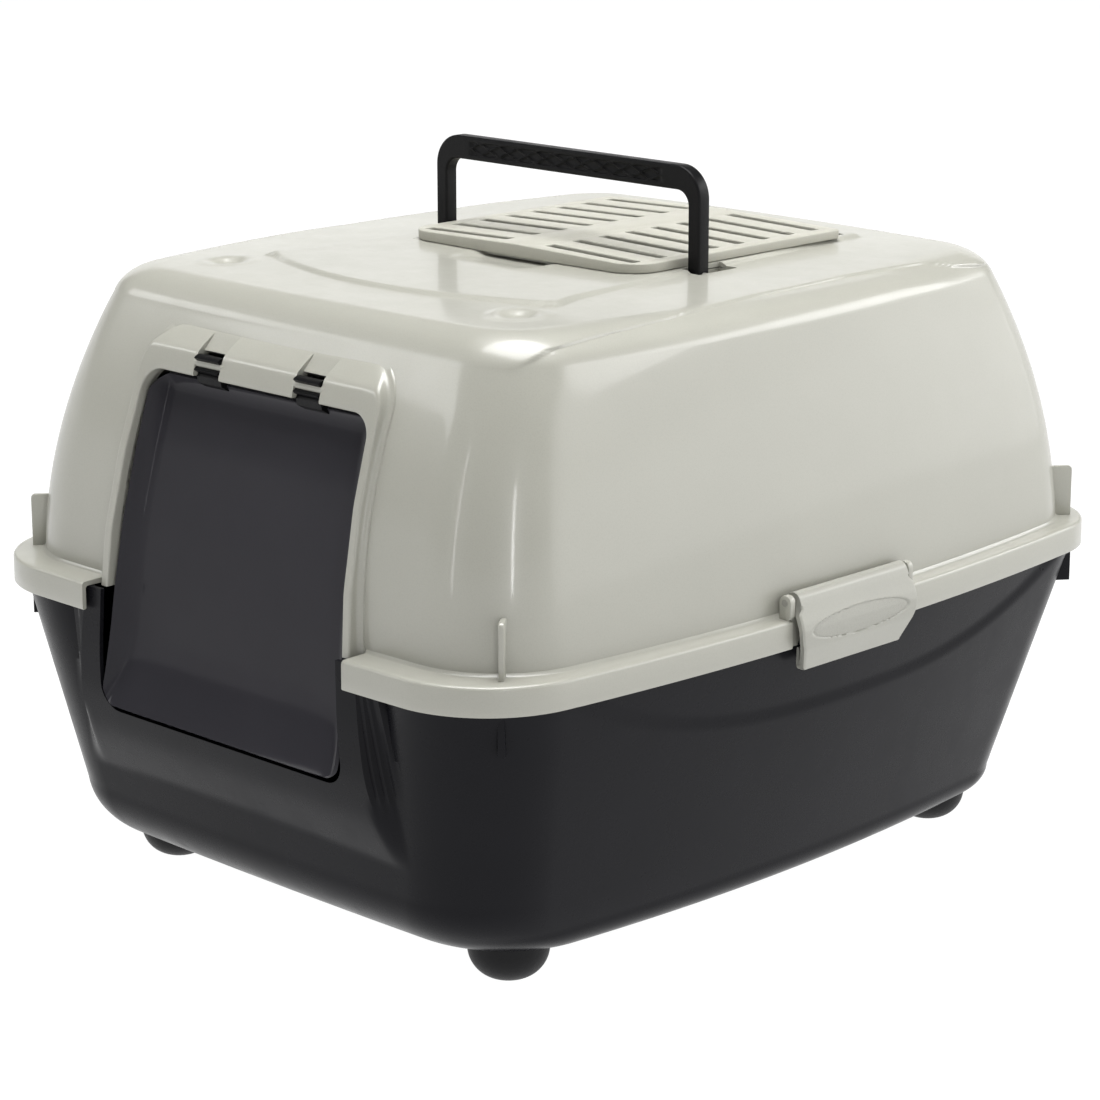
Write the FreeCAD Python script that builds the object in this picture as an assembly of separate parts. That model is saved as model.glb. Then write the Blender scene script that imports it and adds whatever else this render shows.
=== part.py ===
import FreeCAD, Part
import math
import os

# Hooded cat litter box: a deep tray on four feet, a hood that drops over its rim, a two-way entry
# flap, a folding carrying handle, a lift-off filter cover on the roof and a latch on each side.
# Millimetres. Origin on the floor under the middle of the box, +Z up, doorway towards -Y.

V = FreeCAD.Vector

# ---- driving dimensions -------------------------------------------------------------------------
BOX_LENGTH = 550.0            # over the hood's rim, front to back
RIM_HALF_MID = 231.6          # half width of the rim, middle of the box
RIM_HALF_END = 211.6          # half width of the rim, near its corners
RIM_FRONT_END = 273.0
RIM_BACK_END = 270.0
RIM_FRONT_RADIUS = 66.0
RIM_BACK_RADIUS = 54.0
RIM_LOW = 177.0               # lower edge of the rim band
RIM_TOP = 193.3
SEAT_Z = 190.6                # underside of the rim's flange
BODY_GAP = 0.3                # air left between the tray and the hood
WALL = 2.6                    # wall of the tray and the hood

TRAY_BOTTOM = 18.0
FOOT_X = 142.0
FOOT_FRONT_Y = -183.0
FOOT_REAR_Y = 188.0
FOOT_RADIUS = 23.0
FOOT_FLAT_RADIUS = 11.0

SILL_Z = 119.0                # lower edge of the doorway
SILL_HALF = 103.0
DOOR_TOP = 316.0
DOOR_TOP_HALF = 93.5
DOOR_CORNER = 14.0
BEZEL_RIM_HALF = 110.0        # the rim stops here on both sides of the doorway
BEZEL_SIDE = 6.0
BEZEL_TOP = 341.0
BEZEL_CORNER = 27.0
FLAP_GAP = 3.0
FLAP_WALL = 2.4
FLAP_AXIS_Y = -231.5
FLAP_AXIS_Z = 323.0
BAR_RADIUS = 2.5
RUNNING_CLEARANCE = 0.05
PRESS_CLEARANCE = 0.02
NOTCH_IN = 30.7
NOTCH_OUT = 52.5

ROOF_Z = 362.0
PLATEAU_Z = 364.5
HANDLE_X = 103.7
HANDLE_Y = 10.0
HANDLE_PIVOT_Z = 360.5
HANDLE_TOP = 423.4
HANDLE_BAR_LOW = 409.2
HANDLE_WIDTH = 9.0
HANDLE_BEND = 19.0
POCKET_REAR = 36.0

COVER_HALF = 95.0
COVER_FRONT = -36.0
COVER_REAR = 148.0
COVER_RIDGE_Z = 372.5
COVER_EDGE_Z = 370.2
VENT_IN = 15.8
VENT_OUT = 85.9
VENT_FIRST_Y = -22.4
VENT_PITCH = 22.5
VENT_WIDTH = 7.6
VENT_ROWS = 8

LATCH_HALF = 47.0
LATCH_AXIS_X = 227.0
LATCH_AXIS_Z = 203.0
LATCH_PIN_RADIUS = 2.0
LATCH_BAY_HALF = 51.0         # the rim band is open this far to each side of a latch


# ---- plan outlines ------------------------------------------------------------------------------
def circle_through(p, q, r):
    """Centre and radius of the circle through three points of the XY plane."""
    d = 2.0 * (p[0] * (q[1] - r[1]) + q[0] * (r[1] - p[1]) + r[0] * (p[1] - q[1]))
    pp = p[0] ** 2 + p[1] ** 2
    qq = q[0] ** 2 + q[1] ** 2
    rr = r[0] ** 2 + r[1] ** 2
    cx = (pp * (q[1] - r[1]) + qq * (r[1] - p[1]) + rr * (p[1] - q[1])) / d
    cy = (pp * (r[0] - q[0]) + qq * (p[0] - r[0]) + rr * (q[0] - p[0])) / d
    return (cx, cy), math.hypot(p[0] - cx, p[1] - cy)


def corner_arc(side, end, radius, near):
    """Fillet inside two bowed edges: its centre and its tangent points on the side and the end."""
    (ax, ay), ra = side
    (bx, by), rb = end
    ra2, rb2 = ra - radius, rb - radius
    dx, dy = bx - ax, by - ay
    gap = math.hypot(dx, dy)
    along = (ra2 ** 2 - rb2 ** 2 + gap ** 2) / (2.0 * gap)
    across = math.sqrt(max(ra2 ** 2 - along ** 2, 0.0))
    px, py = ax + dx * along / gap, ay + dy * along / gap
    options = [(px - dy * across / gap * s, py + dx * across / gap * s) for s in (1.0, -1.0)]
    cx, cy = min(options, key=lambda c: math.hypot(c[0] - near[0], c[1] - near[1]))
    on_side = (ax + (cx - ax) * ra / ra2, ay + (cy - ay) * ra / ra2)
    on_end = (bx + (cx - bx) * rb / rb2, by + (cy - by) * rb / rb2)
    return (cx, cy), on_side, on_end


def bowed_outline(half_mid, half_end, front_mid, front_end, back_mid, back_end, r_front, r_back, z):
    """Closed wire of eight arcs: four bowed edges and four round corners, mirrored about X = 0."""
    middle_y = (back_end - front_end) / 2.0
    side = circle_through((half_end, -front_end), (half_mid, middle_y), (half_end, back_end))
    front = circle_through((-half_end, -front_end), (0.0, -front_mid), (half_end, -front_end))
    back = circle_through((-half_end, back_end), (0.0, back_mid), (half_end, back_end))
    cf, side_f, front_p = corner_arc(side, front, r_front, (half_end - r_front, r_front - front_end))
    cb, side_b, back_p = corner_arc(side, back, r_back, (half_end - r_back, back_end - r_back))

    def mid_of(centre, radius, a, b):
        mx, my = (a[0] + b[0]) / 2.0 - centre[0], (a[1] + b[1]) / 2.0 - centre[1]
        scale = radius / math.hypot(mx, my)
        return (centre[0] + mx * scale, centre[1] + my * scale)

    def arc(a, b, c):
        return Part.Arc(V(a[0], a[1], z), V(b[0], b[1], z), V(c[0], c[1], z)).toShape()

    def flip(p):
        return (-p[0], p[1])

    front_corner = mid_of(cf, r_front, side_f, front_p)
    back_corner = mid_of(cb, r_back, side_b, back_p)
    edges = [
        arc(flip(front_p), (0.0, -front_mid), front_p),
        arc(front_p, front_corner, side_f),
        arc(side_f, (half_mid, middle_y), side_b),
        arc(side_b, back_corner, back_p),
        arc(back_p, (0.0, back_mid), flip(back_p)),
        arc(flip(back_p), flip(back_corner), flip(side_b)),
        arc(flip(side_b), (-half_mid, middle_y), flip(side_f)),
        arc(flip(side_f), flip(front_corner), flip(front_p)),
    ]
    return Part.Wire(edges)


def mix(a, b, t):
    return a + (b - a) * t


def rim_outline(inset, z):
    return bowed_outline(
        RIM_HALF_MID - inset, RIM_HALF_END - inset, BOX_LENGTH / 2.0 - inset, RIM_FRONT_END - inset,
        BOX_LENGTH / 2.0 - inset, RIM_BACK_END - inset,
        RIM_FRONT_RADIUS - inset, RIM_BACK_RADIUS - inset, z)


def slab(wire, height):
    return Part.Face(wire).extrude(V(0, 0, height))


def round_under(z, start, height, depth):
    """Inset of a quarter ellipse that rolls a wall under into a flat bottom."""
    u = min(max((z - start) / height, 0.0), 1.0)
    return depth * (1.0 - math.sqrt(1.0 - (1.0 - u) ** 2))


# ---- tray ---------------------------------------------------------------------------------------
TRAY_SIDE_ROUND = (17.0, 20.0)      # height and depth of the rounding into the bottom
TRAY_FRONT_ROUND = (38.6, 56.8)


def tray_outline(z, inset, out_z):
    side = round_under(z, TRAY_BOTTOM, *TRAY_SIDE_ROUND) + inset
    front = round_under(z, TRAY_BOTTOM, *TRAY_FRONT_ROUND) + inset
    ts = max(0.0, (z - TRAY_BOTTOM - TRAY_SIDE_ROUND[0]) / (RIM_LOW - TRAY_BOTTOM - TRAY_SIDE_ROUND[0]))
    tf = max(0.0, (z - TRAY_BOTTOM - TRAY_FRONT_ROUND[0]) / (RIM_LOW - TRAY_BOTTOM - TRAY_FRONT_ROUND[0]))
    half_mid = mix(191.6, 226.0, ts) - side
    half_end = mix(174.8, 206.5, ts) - side
    front_y = mix(248.8, 268.0, tf) - front
    back_y = mix(233.6, 268.0, ts) - side
    soften = (side - inset) * 0.5 + inset
    return bowed_outline(half_mid, half_end, front_y, front_y - 3.0, back_y, back_y - 3.0,
                         mix(60.0, 62.0, ts) - soften, mix(51.6, 52.0, ts) - soften, out_z)


def tray_solid(inset, floor_z, top_z):
    levels = [18.0, 18.4, 19.6, 21.6, 24.5, 28.5, 33.5, 40.0, 48.0, 57.0, 177.0]
    lift = (floor_z - TRAY_BOTTOM) / (RIM_LOW - TRAY_BOTTOM)
    wires = [tray_outline(z, inset, z + (RIM_LOW - z) * lift) for z in levels]
    body = Part.makeLoft(wires, True, True)
    return body.fuse(slab(tray_outline(RIM_LOW, inset, RIM_LOW), top_z - RIM_LOW))


def prism_x(points, x0, x1):
    """Closed YZ polygon extruded along X."""
    ring = [V(x0, y, z) for y, z in points]
    return Part.Face(Part.makePolygon(ring + ring[:1])).extrude(V(x1 - x0, 0, 0))


def prism_y(points, y0, y1):
    """Closed XZ polygon extruded along Y."""
    ring = [V(x, y0, z) for x, z in points]
    return Part.Face(Part.makePolygon(ring + ring[:1])).extrude(V(0, y1 - y0, 0))


def box(x0, x1, y0, y1, z0, z1):
    return Part.makeBox(x1 - x0, y1 - y0, z1 - z0, V(x0, y0, z0))


def cylinder_x(x0, x1, y, z, radius):
    return Part.makeCylinder(radius, x1 - x0, V(x0, y, z), V(1, 0, 0))


def cylinder_y(x, y0, y1, z, radius):
    return Part.makeCylinder(radius, y1 - y0, V(x, y0, z), V(0, 1, 0))


def smooth_face_prism(front, back_y, x_half):
    """Solid between a smooth front curve in the YZ plane and a flat back, extruded along X."""
    curve = Part.BSplineCurve()
    curve.interpolate([V(-x_half, y, z) for y, z in front])
    top = V(-x_half, back_y, front[-1][1])
    low = V(-x_half, back_y, front[0][1])
    start = V(-x_half, front[0][0], front[0][1])
    end = V(-x_half, front[-1][0], front[-1][1])
    wire = Part.Wire([curve.toShape(), Part.makeLine(end, top), Part.makeLine(top, low),
                      Part.makeLine(low, start)])
    return Part.Face(wire).extrude(V(2.0 * x_half, 0, 0))


def rounded_frame(low_z, low_half, top_z, top_half, corner, y0, y1):
    """Doorway-shaped prism along Y, open at its foot, with two round top corners."""
    shape = prism_y([(-low_half, low_z), (low_half, low_z), (top_half, top_z), (-top_half, top_z)], y0, y1)
    tops = [e for e in shape.Edges
            if e.BoundBox.ZMin > top_z - 0.01 and e.BoundBox.YLength > abs(y1 - y0) - 0.01]
    return shape.makeFillet(corner, tops)


def door_half(z):
    """Half width of the doorway at a height."""
    return mix(SILL_HALF, DOOR_TOP_HALF, (z - SILL_Z) / (DOOR_TOP - SILL_Z))


# front face of the moulded surround below the rim, and the same face set back by the wall
SURROUND_CURVE = [(-243.0, 62.0), (-254.0, 82.0), (-264.0, 104.0), (-269.5, 130.0),
                  (-270.5, 155.0), (-269.5, SEAT_Z - BODY_GAP)]


def surround_prism(inset, y_back):
    curve = [(y + inset, z) for y, z in SURROUND_CURVE]
    body = smooth_face_prism(curve, y_back, 140.0)
    half_low = 126.0 - inset
    half_top = 113.5 - inset
    sides = prism_y([(-half_low + 12.0, 60.0), (half_low - 12.0, 60.0), (half_low, 84.0),
                     (half_top, 200.0), (-half_top, 200.0), (-half_low, 84.0)], -300.0, y_back)
    return body.common(sides)


def door_cut(low_z, high_z, y0, y1):
    """The doorway as a prism through the front, with round lower corners."""
    shape = prism_y([(-door_half(low_z), low_z), (door_half(low_z), low_z),
                     (door_half(high_z), high_z), (-door_half(high_z), high_z)], y0, y1)
    lows = [e for e in shape.Edges
            if e.BoundBox.ZMax < low_z + 0.01 and e.BoundBox.YLength > abs(y1 - y0) - 0.01]
    return shape.makeFillet(DOOR_CORNER, lows)


def latch_sides():
    return ((1.0, "right"), (-1.0, "left"))


def mirror_x(shape, sign):
    if sign > 0:
        return shape
    return shape.mirror(V(0, 0, 0), V(1, 0, 0))


def corner_rib(x, y, angle, length, thick, z0, z1):
    """Thin upright plate that runs radially out of a corner."""
    plate = Part.makeBox(length, thick, z1 - z0, V(0, -thick / 2.0, z0))
    plate.rotate(V(0, 0, 0), V(0, 0, 1), angle)
    plate.translate(V(x, y, 0))
    return plate


CORNER_RIBS = ((186.0, -228.0, -52.0), (188.0, 233.0, 52.0))


def make_tray():
    outer = tray_solid(0.0, TRAY_BOTTOM, SEAT_Z - BODY_GAP)
    outer_surround = surround_prism(0.0, -225.0)
    body = outer.fuse(outer_surround)
    # rolled lip that the hood rests on
    lip = slab(rim_outline(3.4, 184.6), SEAT_Z - BODY_GAP - 184.6)
    lip = lip.cut(box(-113.0, 113.0, -300.0, -200.0, 180.0, 200.0))
    body = body.fuse(lip)
    for sign, _name in latch_sides():
        keeper = box(205.0, 230.0, -40.0, 40.0, 176.2, 179.4)
        body = body.fuse(mirror_x(keeper, sign))
        for x, y, angle in CORNER_RIBS:
            lug = corner_rib(x, y, angle, 20.0, 4.0, 152.0, RIM_LOW + 8.0)
            body = body.fuse(mirror_x(lug, sign))
    inner = tray_solid(WALL, TRAY_BOTTOM + WALL, SEAT_Z + 5.0)
    body = body.cut(inner)
    body = body.cut(surround_prism(WALL, -225.0))
    body = body.cut(box(-(113.5 - WALL), 113.5 - WALL, -268.0, -200.0, SEAT_Z - 12.0, SEAT_Z + 5.0))
    body = body.cut(door_cut(SILL_Z, SEAT_Z + 6.0, -300.0, -200.0))
    return body.removeSplitter()


def foot_profile():
    """Domed knob with a small flat tread, revolved about its own axis."""
    arc = Part.Arc(V(FOOT_FLAT_RADIUS, 0, 0), V(20.0, 0, 7.2), V(FOOT_RADIUS, 0, 17.0)).toShape()
    top = 36.0
    lines = [Part.makeLine(V(0, 0, 0), V(FOOT_FLAT_RADIUS, 0, 0)), arc,
             Part.makeLine(V(FOOT_RADIUS, 0, 17.0), V(FOOT_RADIUS, 0, top)),
             Part.makeLine(V(FOOT_RADIUS, 0, top), V(0, 0, top)),
             Part.makeLine(V(0, 0, top), V(0, 0, 0))]
    return Part.Face(Part.Wire(lines)).revolve(V(0, 0, 0), V(0, 0, 1), 360.0)


def make_foot(x, y, tray_outer):
    foot = foot_profile()
    foot.translate(V(x, y, 0))
    # the top of the foot is cut to the underside of the tray, and stops at its lower rounding
    foot = foot.cut(tray_outer)
    keep = Part.makeCylinder(FOOT_RADIUS + 5.0, 24.5, V(x, y, 0))
    foot = foot.common(keep)
    return max(foot.Solids, key=lambda s: s.Volume)


# ---- hood ---------------------------------------------------------------------------------------
HOOD_WALL_Z = 194.0            # the wall starts to lean in above the rim's flange
HOOD_SHOULDER_Z = 346.0

# one row per outline dimension, in the order that bowed_outline takes them: at the foot of the wall,
# at the shoulder, how far the wall bulges between the two, and how far the shoulder rolls in
HOOD_SHAPE = (
    (221.5, 195.2, 0.15, 26.0),
    (201.5, 172.0, 0.15, 26.0),
    (257.0, 214.5, 0.25, 24.0),
    (254.0, 210.9, 0.25, 24.0),
    (257.2, 221.8, 0.26, 23.0),
    (254.0, 214.0, 0.26, 23.0),
    (61.0, 44.7, 0.15, 17.0),
    (50.0, 41.6, 0.15, 17.0),
)


def hood_outline(z, inset, out_z):
    t = min(max((z - HOOD_WALL_Z) / (HOOD_SHOULDER_Z - HOOD_WALL_Z), 0.0), 1.0)
    s = min(max((z - HOOD_SHOULDER_Z) / (ROOF_Z - HOOD_SHOULDER_Z), 0.0), 1.0)
    roll = 1.0 - math.sqrt(1.0 - s * s)
    sizes = []
    for i, (foot, top, bulge, shoulder) in enumerate(HOOD_SHAPE):
        lean = t - 4.0 * bulge * t * (1.0 - t)
        share = 1.0 if i < 6 else 0.7
        sizes.append(mix(foot, top, lean) - shoulder * roll - share * inset)
    return bowed_outline(*sizes, out_z)


def hood_solid(inset, top_z, base_z):
    levels = [HOOD_WALL_Z, 225.0, 250.0, 272.0, 292.0, 310.0, 328.0, HOOD_SHOULDER_Z,
              351.0, 355.2, 358.6, 361.0, ROOF_Z]
    drop = (ROOF_Z - top_z) / (ROOF_Z - HOOD_WALL_Z)
    wires = [hood_outline(z, inset, z - (z - HOOD_WALL_Z) * drop) for z in levels]
    body = Part.makeLoft(wires, True, True)
    skirt = slab(hood_outline(HOOD_WALL_Z, inset, base_z), HOOD_WALL_Z - base_z)
    return body.fuse(skirt)


BEZEL_CURVE = [(-264.9, SEAT_Z), (-261.5, 225.0), (-251.5, 270.0), (-236.0, 316.0),
               (-227.5, 333.0), (-213.0, 345.0)]


def bezel_prism(inset, y_back):
    curve = [(y + inset, z) for y, z in BEZEL_CURVE]
    body = smooth_face_prism(curve, y_back, 140.0)
    foot_half = door_half(185.0) + BEZEL_SIDE - inset
    top_half = door_half(BEZEL_TOP) + BEZEL_SIDE - inset
    mask = rounded_frame(185.0, foot_half, BEZEL_TOP - inset, top_half, BEZEL_CORNER - inset,
                         -300.0, y_back)
    return body.common(mask)


def make_hood():
    outer = hood_solid(0.0, ROOF_Z, SEAT_Z)
    inner = hood_solid(WALL, ROOF_Z - WALL, SEAT_Z - 10.0)
    body = outer
    plateau = Part.makeLoft([
        bowed_outline(113.0, 110.0, 152.0, 136.0, 160.0, 156.0, 30.0, 24.0, ROOF_Z - 1.0),
        bowed_outline(108.0, 105.0, 145.0, 129.0, 152.0, 148.0, 26.0, 20.0, PLATEAU_Z)], True, True)
    body = body.fuse(plateau)
    body = body.fuse(bezel_prism(0.0, -205.0))
    body = body.cut(inner)
    body = body.cut(bezel_prism(WALL, -205.0))
    hollow = Part.makeLoft([
        bowed_outline(109.0, 106.0, 148.0, 132.0, 156.0, 152.0, 28.0, 22.0, ROOF_Z - WALL - 1.0),
        bowed_outline(105.0, 102.0, 142.0, 126.0, 149.0, 145.0, 25.0, 19.0, PLATEAU_Z - WALL)], True, True)
    body = body.cut(hollow)
    # rim: flat flange and turned-down band, open across the doorway
    flange = slab(rim_outline(0.0, SEAT_Z), RIM_TOP - SEAT_Z)
    band = slab(rim_outline(0.0, RIM_LOW), SEAT_Z - RIM_LOW).cut(slab(rim_outline(WALL, RIM_LOW), 30.0))
    rim = flange.fuse(band).cut(slab(hood_outline(HOOD_WALL_Z, 1.5, SEAT_Z - 30.0), 40.0))
    rim = rim.cut(box(-BEZEL_RIM_HALF, BEZEL_RIM_HALF, -300.0, -200.0, 170.0, 200.0))
    for sign, _name in latch_sides():
        bay = box(228.6, 240.0, -LATCH_BAY_HALF, LATCH_BAY_HALF, 170.0, 200.0)
        under = box(222.0, 240.0, -LATCH_BAY_HALF, LATCH_BAY_HALF, 170.0, SEAT_Z)
        rim = rim.cut(mirror_x(bay.fuse(under), sign))
    body = body.fuse(rim)
    # doorway
    door = rounded_frame(SEAT_Z - 20.0, door_half(SEAT_Z - 20.0), DOOR_TOP, DOOR_TOP_HALF,
                         DOOR_CORNER, -300.0, -215.0)
    body = body.cut(door)
    body = add_flap_hinges(body)
    body = add_latch_lugs(body)
    body = add_handle_pockets(body)
    body = add_filter_well(body)
    for sign, _name in latch_sides():
        for x, y, angle in CORNER_RIBS:
            fin = corner_rib(x, y, angle, 19.0, 3.0, RIM_TOP - 1.0, 224.5).cut(inner)
            body = body.fuse(mirror_x(fin, sign))
    return body.removeSplitter()


def add_flap_hinges(body):
    """Two notches in the visor, each with a ramped floor and a bar that the flap hooks on to."""
    for sign, _name in latch_sides():
        cheeks = prism_x([(-235.2, 317.5), (-226.0, 334.5), (-216.0, 341.5), (-216.0, 317.5)],
                         NOTCH_IN - WALL, NOTCH_OUT + WALL)
        body = body.fuse(mirror_x(cheeks, sign))
        well = prism_x([(-245.0, 310.0), (-245.0, 350.0), (-214.0, 350.0), (-219.0, 342.0),
                        (-227.0, 329.6), (-222.6, 327.0), (-210.0, 327.0), (-210.0, 310.0)],
                       NOTCH_IN, NOTCH_OUT)
        body = body.cut(mirror_x(well, sign))
        bar = cylinder_x(NOTCH_IN - 1.5, NOTCH_OUT + 1.5, FLAP_AXIS_Y, FLAP_AXIS_Z, BAR_RADIUS)
        body = body.fuse(mirror_x(bar, sign))
    return body


LUG_INNER = 50.0
LUG_THICK = 4.0


def lug_profile(radius, y0, y1):
    """Upright ear on the rim flange, round about the latch pin."""
    ear = cylinder_y(LATCH_AXIS_X, y0, y1, LATCH_AXIS_Z, radius)
    post = box(LATCH_AXIS_X - radius, LATCH_AXIS_X + radius, y0, y1, RIM_TOP - 1.0, LATCH_AXIS_Z)
    return ear.fuse(post)


def add_latch_lugs(body):
    for sign, _name in latch_sides():
        for end in (-1.0, 1.0):
            y0, y1 = sorted((end * LUG_INNER, end * (LUG_INNER + LUG_THICK)))
            lug = lug_profile(4.2, y0, y1)
            lug = lug.cut(cylinder_y(LATCH_AXIS_X, y0 - 1.0, y1 + 1.0, LATCH_AXIS_Z,
                                     LATCH_PIN_RADIUS + PRESS_CLEARANCE))
            body = body.fuse(mirror_x(lug, sign))
    return body


POCKET_WALL = 2.4
POCKET_HALF = 7.0
POCKET_LOW = 355.0
HANDLE_PIN_RADIUS = 2.5


def add_handle_pockets(body):
    """A small well beside the cover takes each handle leg and lets it fold to the rear."""
    for sign, _name in latch_sides():
        x0, x1 = HANDLE_X - POCKET_HALF, HANDLE_X + POCKET_HALF
        y0, y1 = HANDLE_Y - 7.0, POCKET_REAR
        lining = box(x0 - POCKET_WALL, x1 + POCKET_WALL, y0 - POCKET_WALL, y1 + POCKET_WALL,
                     POCKET_LOW - POCKET_WALL, ROOF_Z)
        well = box(x0, x1, y0, y1, POCKET_LOW, 380.0)
        bore = cylinder_x(x0 - POCKET_WALL - 1.0, x1 + POCKET_WALL + 1.0, HANDLE_Y, HANDLE_PIVOT_Z,
                          HANDLE_PIN_RADIUS + PRESS_CLEARANCE)
        body = body.fuse(mirror_x(lining, sign)).cut(mirror_x(well, sign)).cut(mirror_x(bore, sign))
    return body


WELL_HALF = 86.0
WELL_FRONT = -28.0
WELL_REAR = 142.0
HOLDER_LEDGE = 4.0
HOLDER_FLANGE = 1.6


def add_filter_well(body):
    """Opening in the roof for the filter holder, with a rebate for its flange."""
    hole = box(-WELL_HALF, WELL_HALF, WELL_FRONT, WELL_REAR, 340.0, 380.0)
    rebate = box(-WELL_HALF - HOLDER_LEDGE, WELL_HALF + HOLDER_LEDGE, WELL_FRONT - HOLDER_LEDGE,
                 WELL_REAR + HOLDER_LEDGE, PLATEAU_Z - HOLDER_FLANGE, 380.0)
    body = body.cut(hole).cut(rebate)
    last_row = VENT_FIRST_Y + VENT_PITCH * VENT_ROWS
    for sign, _name in latch_sides():
        slot = box(VENT_IN, VENT_OUT, last_row - VENT_WIDTH / 2.0 + 1.0, last_row + VENT_WIDTH / 2.0 + 1.0,
                   340.0, 380.0)
        body = body.cut(mirror_x(slot, sign))
    return body


# ---- filter parts -------------------------------------------------------------------------------
HOLDER_WALL = 1.6
HOLDER_LOW = 353.0


def make_filter_holder():
    gap = 0.4
    reach = HOLDER_LEDGE - gap
    flange = box(-WELL_HALF - reach, WELL_HALF + reach, WELL_FRONT - reach, WELL_REAR + reach,
                 PLATEAU_Z - HOLDER_FLANGE, PLATEAU_Z)
    shell = box(-WELL_HALF + gap, WELL_HALF - gap, WELL_FRONT + gap, WELL_REAR - gap, HOLDER_LOW, PLATEAU_Z)
    side = gap + HOLDER_WALL
    hollow = box(-WELL_HALF + side, WELL_HALF - side, WELL_FRONT + side, WELL_REAR - side,
                 HOLDER_LOW + HOLDER_WALL, 380.0)
    holder = flange.fuse(shell).cut(hollow)
    columns, rows = 6, 6
    bar = 3.0
    pitch_x = (2.0 * (WELL_HALF - side) - bar) / columns
    pitch_y = (WELL_REAR - WELL_FRONT - 2.0 * side - bar) / rows
    for i in range(columns):
        for j in range(rows):
            x0 = -WELL_HALF + side + bar + i * pitch_x
            y0 = WELL_FRONT + side + bar + j * pitch_y
            holder = holder.cut(box(x0, x0 + pitch_x - bar, y0, y0 + pitch_y - bar, 340.0, 356.0))
    return holder


def make_carbon_filter():
    side = 0.4 + HOLDER_WALL + 0.6
    return box(-WELL_HALF + side, WELL_HALF - side, WELL_FRONT + side, WELL_REAR - side,
               HOLDER_LOW + HOLDER_WALL, PLATEAU_Z - 0.6)


COVER_LOW = PLATEAU_Z + 0.3
COVER_PLATE = 3.2


def cover_blank(inset, low, roof_drop):
    ridge = COVER_RIDGE_Z - roof_drop
    edge = COVER_EDGE_Z - roof_drop
    section = prism_y([(-COVER_HALF + inset, low), (COVER_HALF - inset, low),
                       (COVER_HALF - inset, edge), (0.0, ridge), (-COVER_HALF + inset, edge)],
                      COVER_FRONT + inset, COVER_REAR - inset)
    uprights = [e for e in section.Edges if e.BoundBox.ZLength > 2.0 and e.BoundBox.XLength < 0.01
                and e.BoundBox.YLength < 0.01 and e.BoundBox.YMax < 0.0]
    fronts = [e for e in uprights if abs(abs(e.BoundBox.XMin) - COVER_HALF + inset) < 0.01]
    return section.makeFillet(20.0 - inset, fronts)


def make_filter_cover():
    cover = cover_blank(0.0, COVER_LOW, 0.0)
    tops = [e for e in cover.Edges if e.BoundBox.ZMin > COVER_EDGE_Z - 0.05
            and (e.BoundBox.YMax < COVER_FRONT + 30.0 or e.BoundBox.XLength < 0.01)
            and e.BoundBox.ZMax < COVER_RIDGE_Z + 0.01 and not (abs(e.BoundBox.XMin) < 0.01
                                                                 and e.BoundBox.XLength < 0.01)]
    cover = cover.makeFillet(1.6, tops)
    cover = cover.cut(cover_blank(2.4, COVER_LOW - 1.0, COVER_PLATE))
    for sign, _name in latch_sides():
        for row in range(VENT_ROWS):
            y = VENT_FIRST_Y + row * VENT_PITCH
            slot = box(VENT_IN, VENT_OUT, y - VENT_WIDTH / 2.0, y + VENT_WIDTH / 2.0, 366.5, 380.0)
            cover = cover.cut(mirror_x(slot, sign))
    return cover


# ---- flap ---------------------------------------------------------------------------------------
FLAP_CURVE = [(-272.0, 123.5), (-268.5, 130.0), (-264.0, 145.0), (-261.5, 165.0), (-259.5, 195.0),
              (-255.0, 230.0), (-245.0, 272.0), (-233.6, 312.4)]


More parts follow.
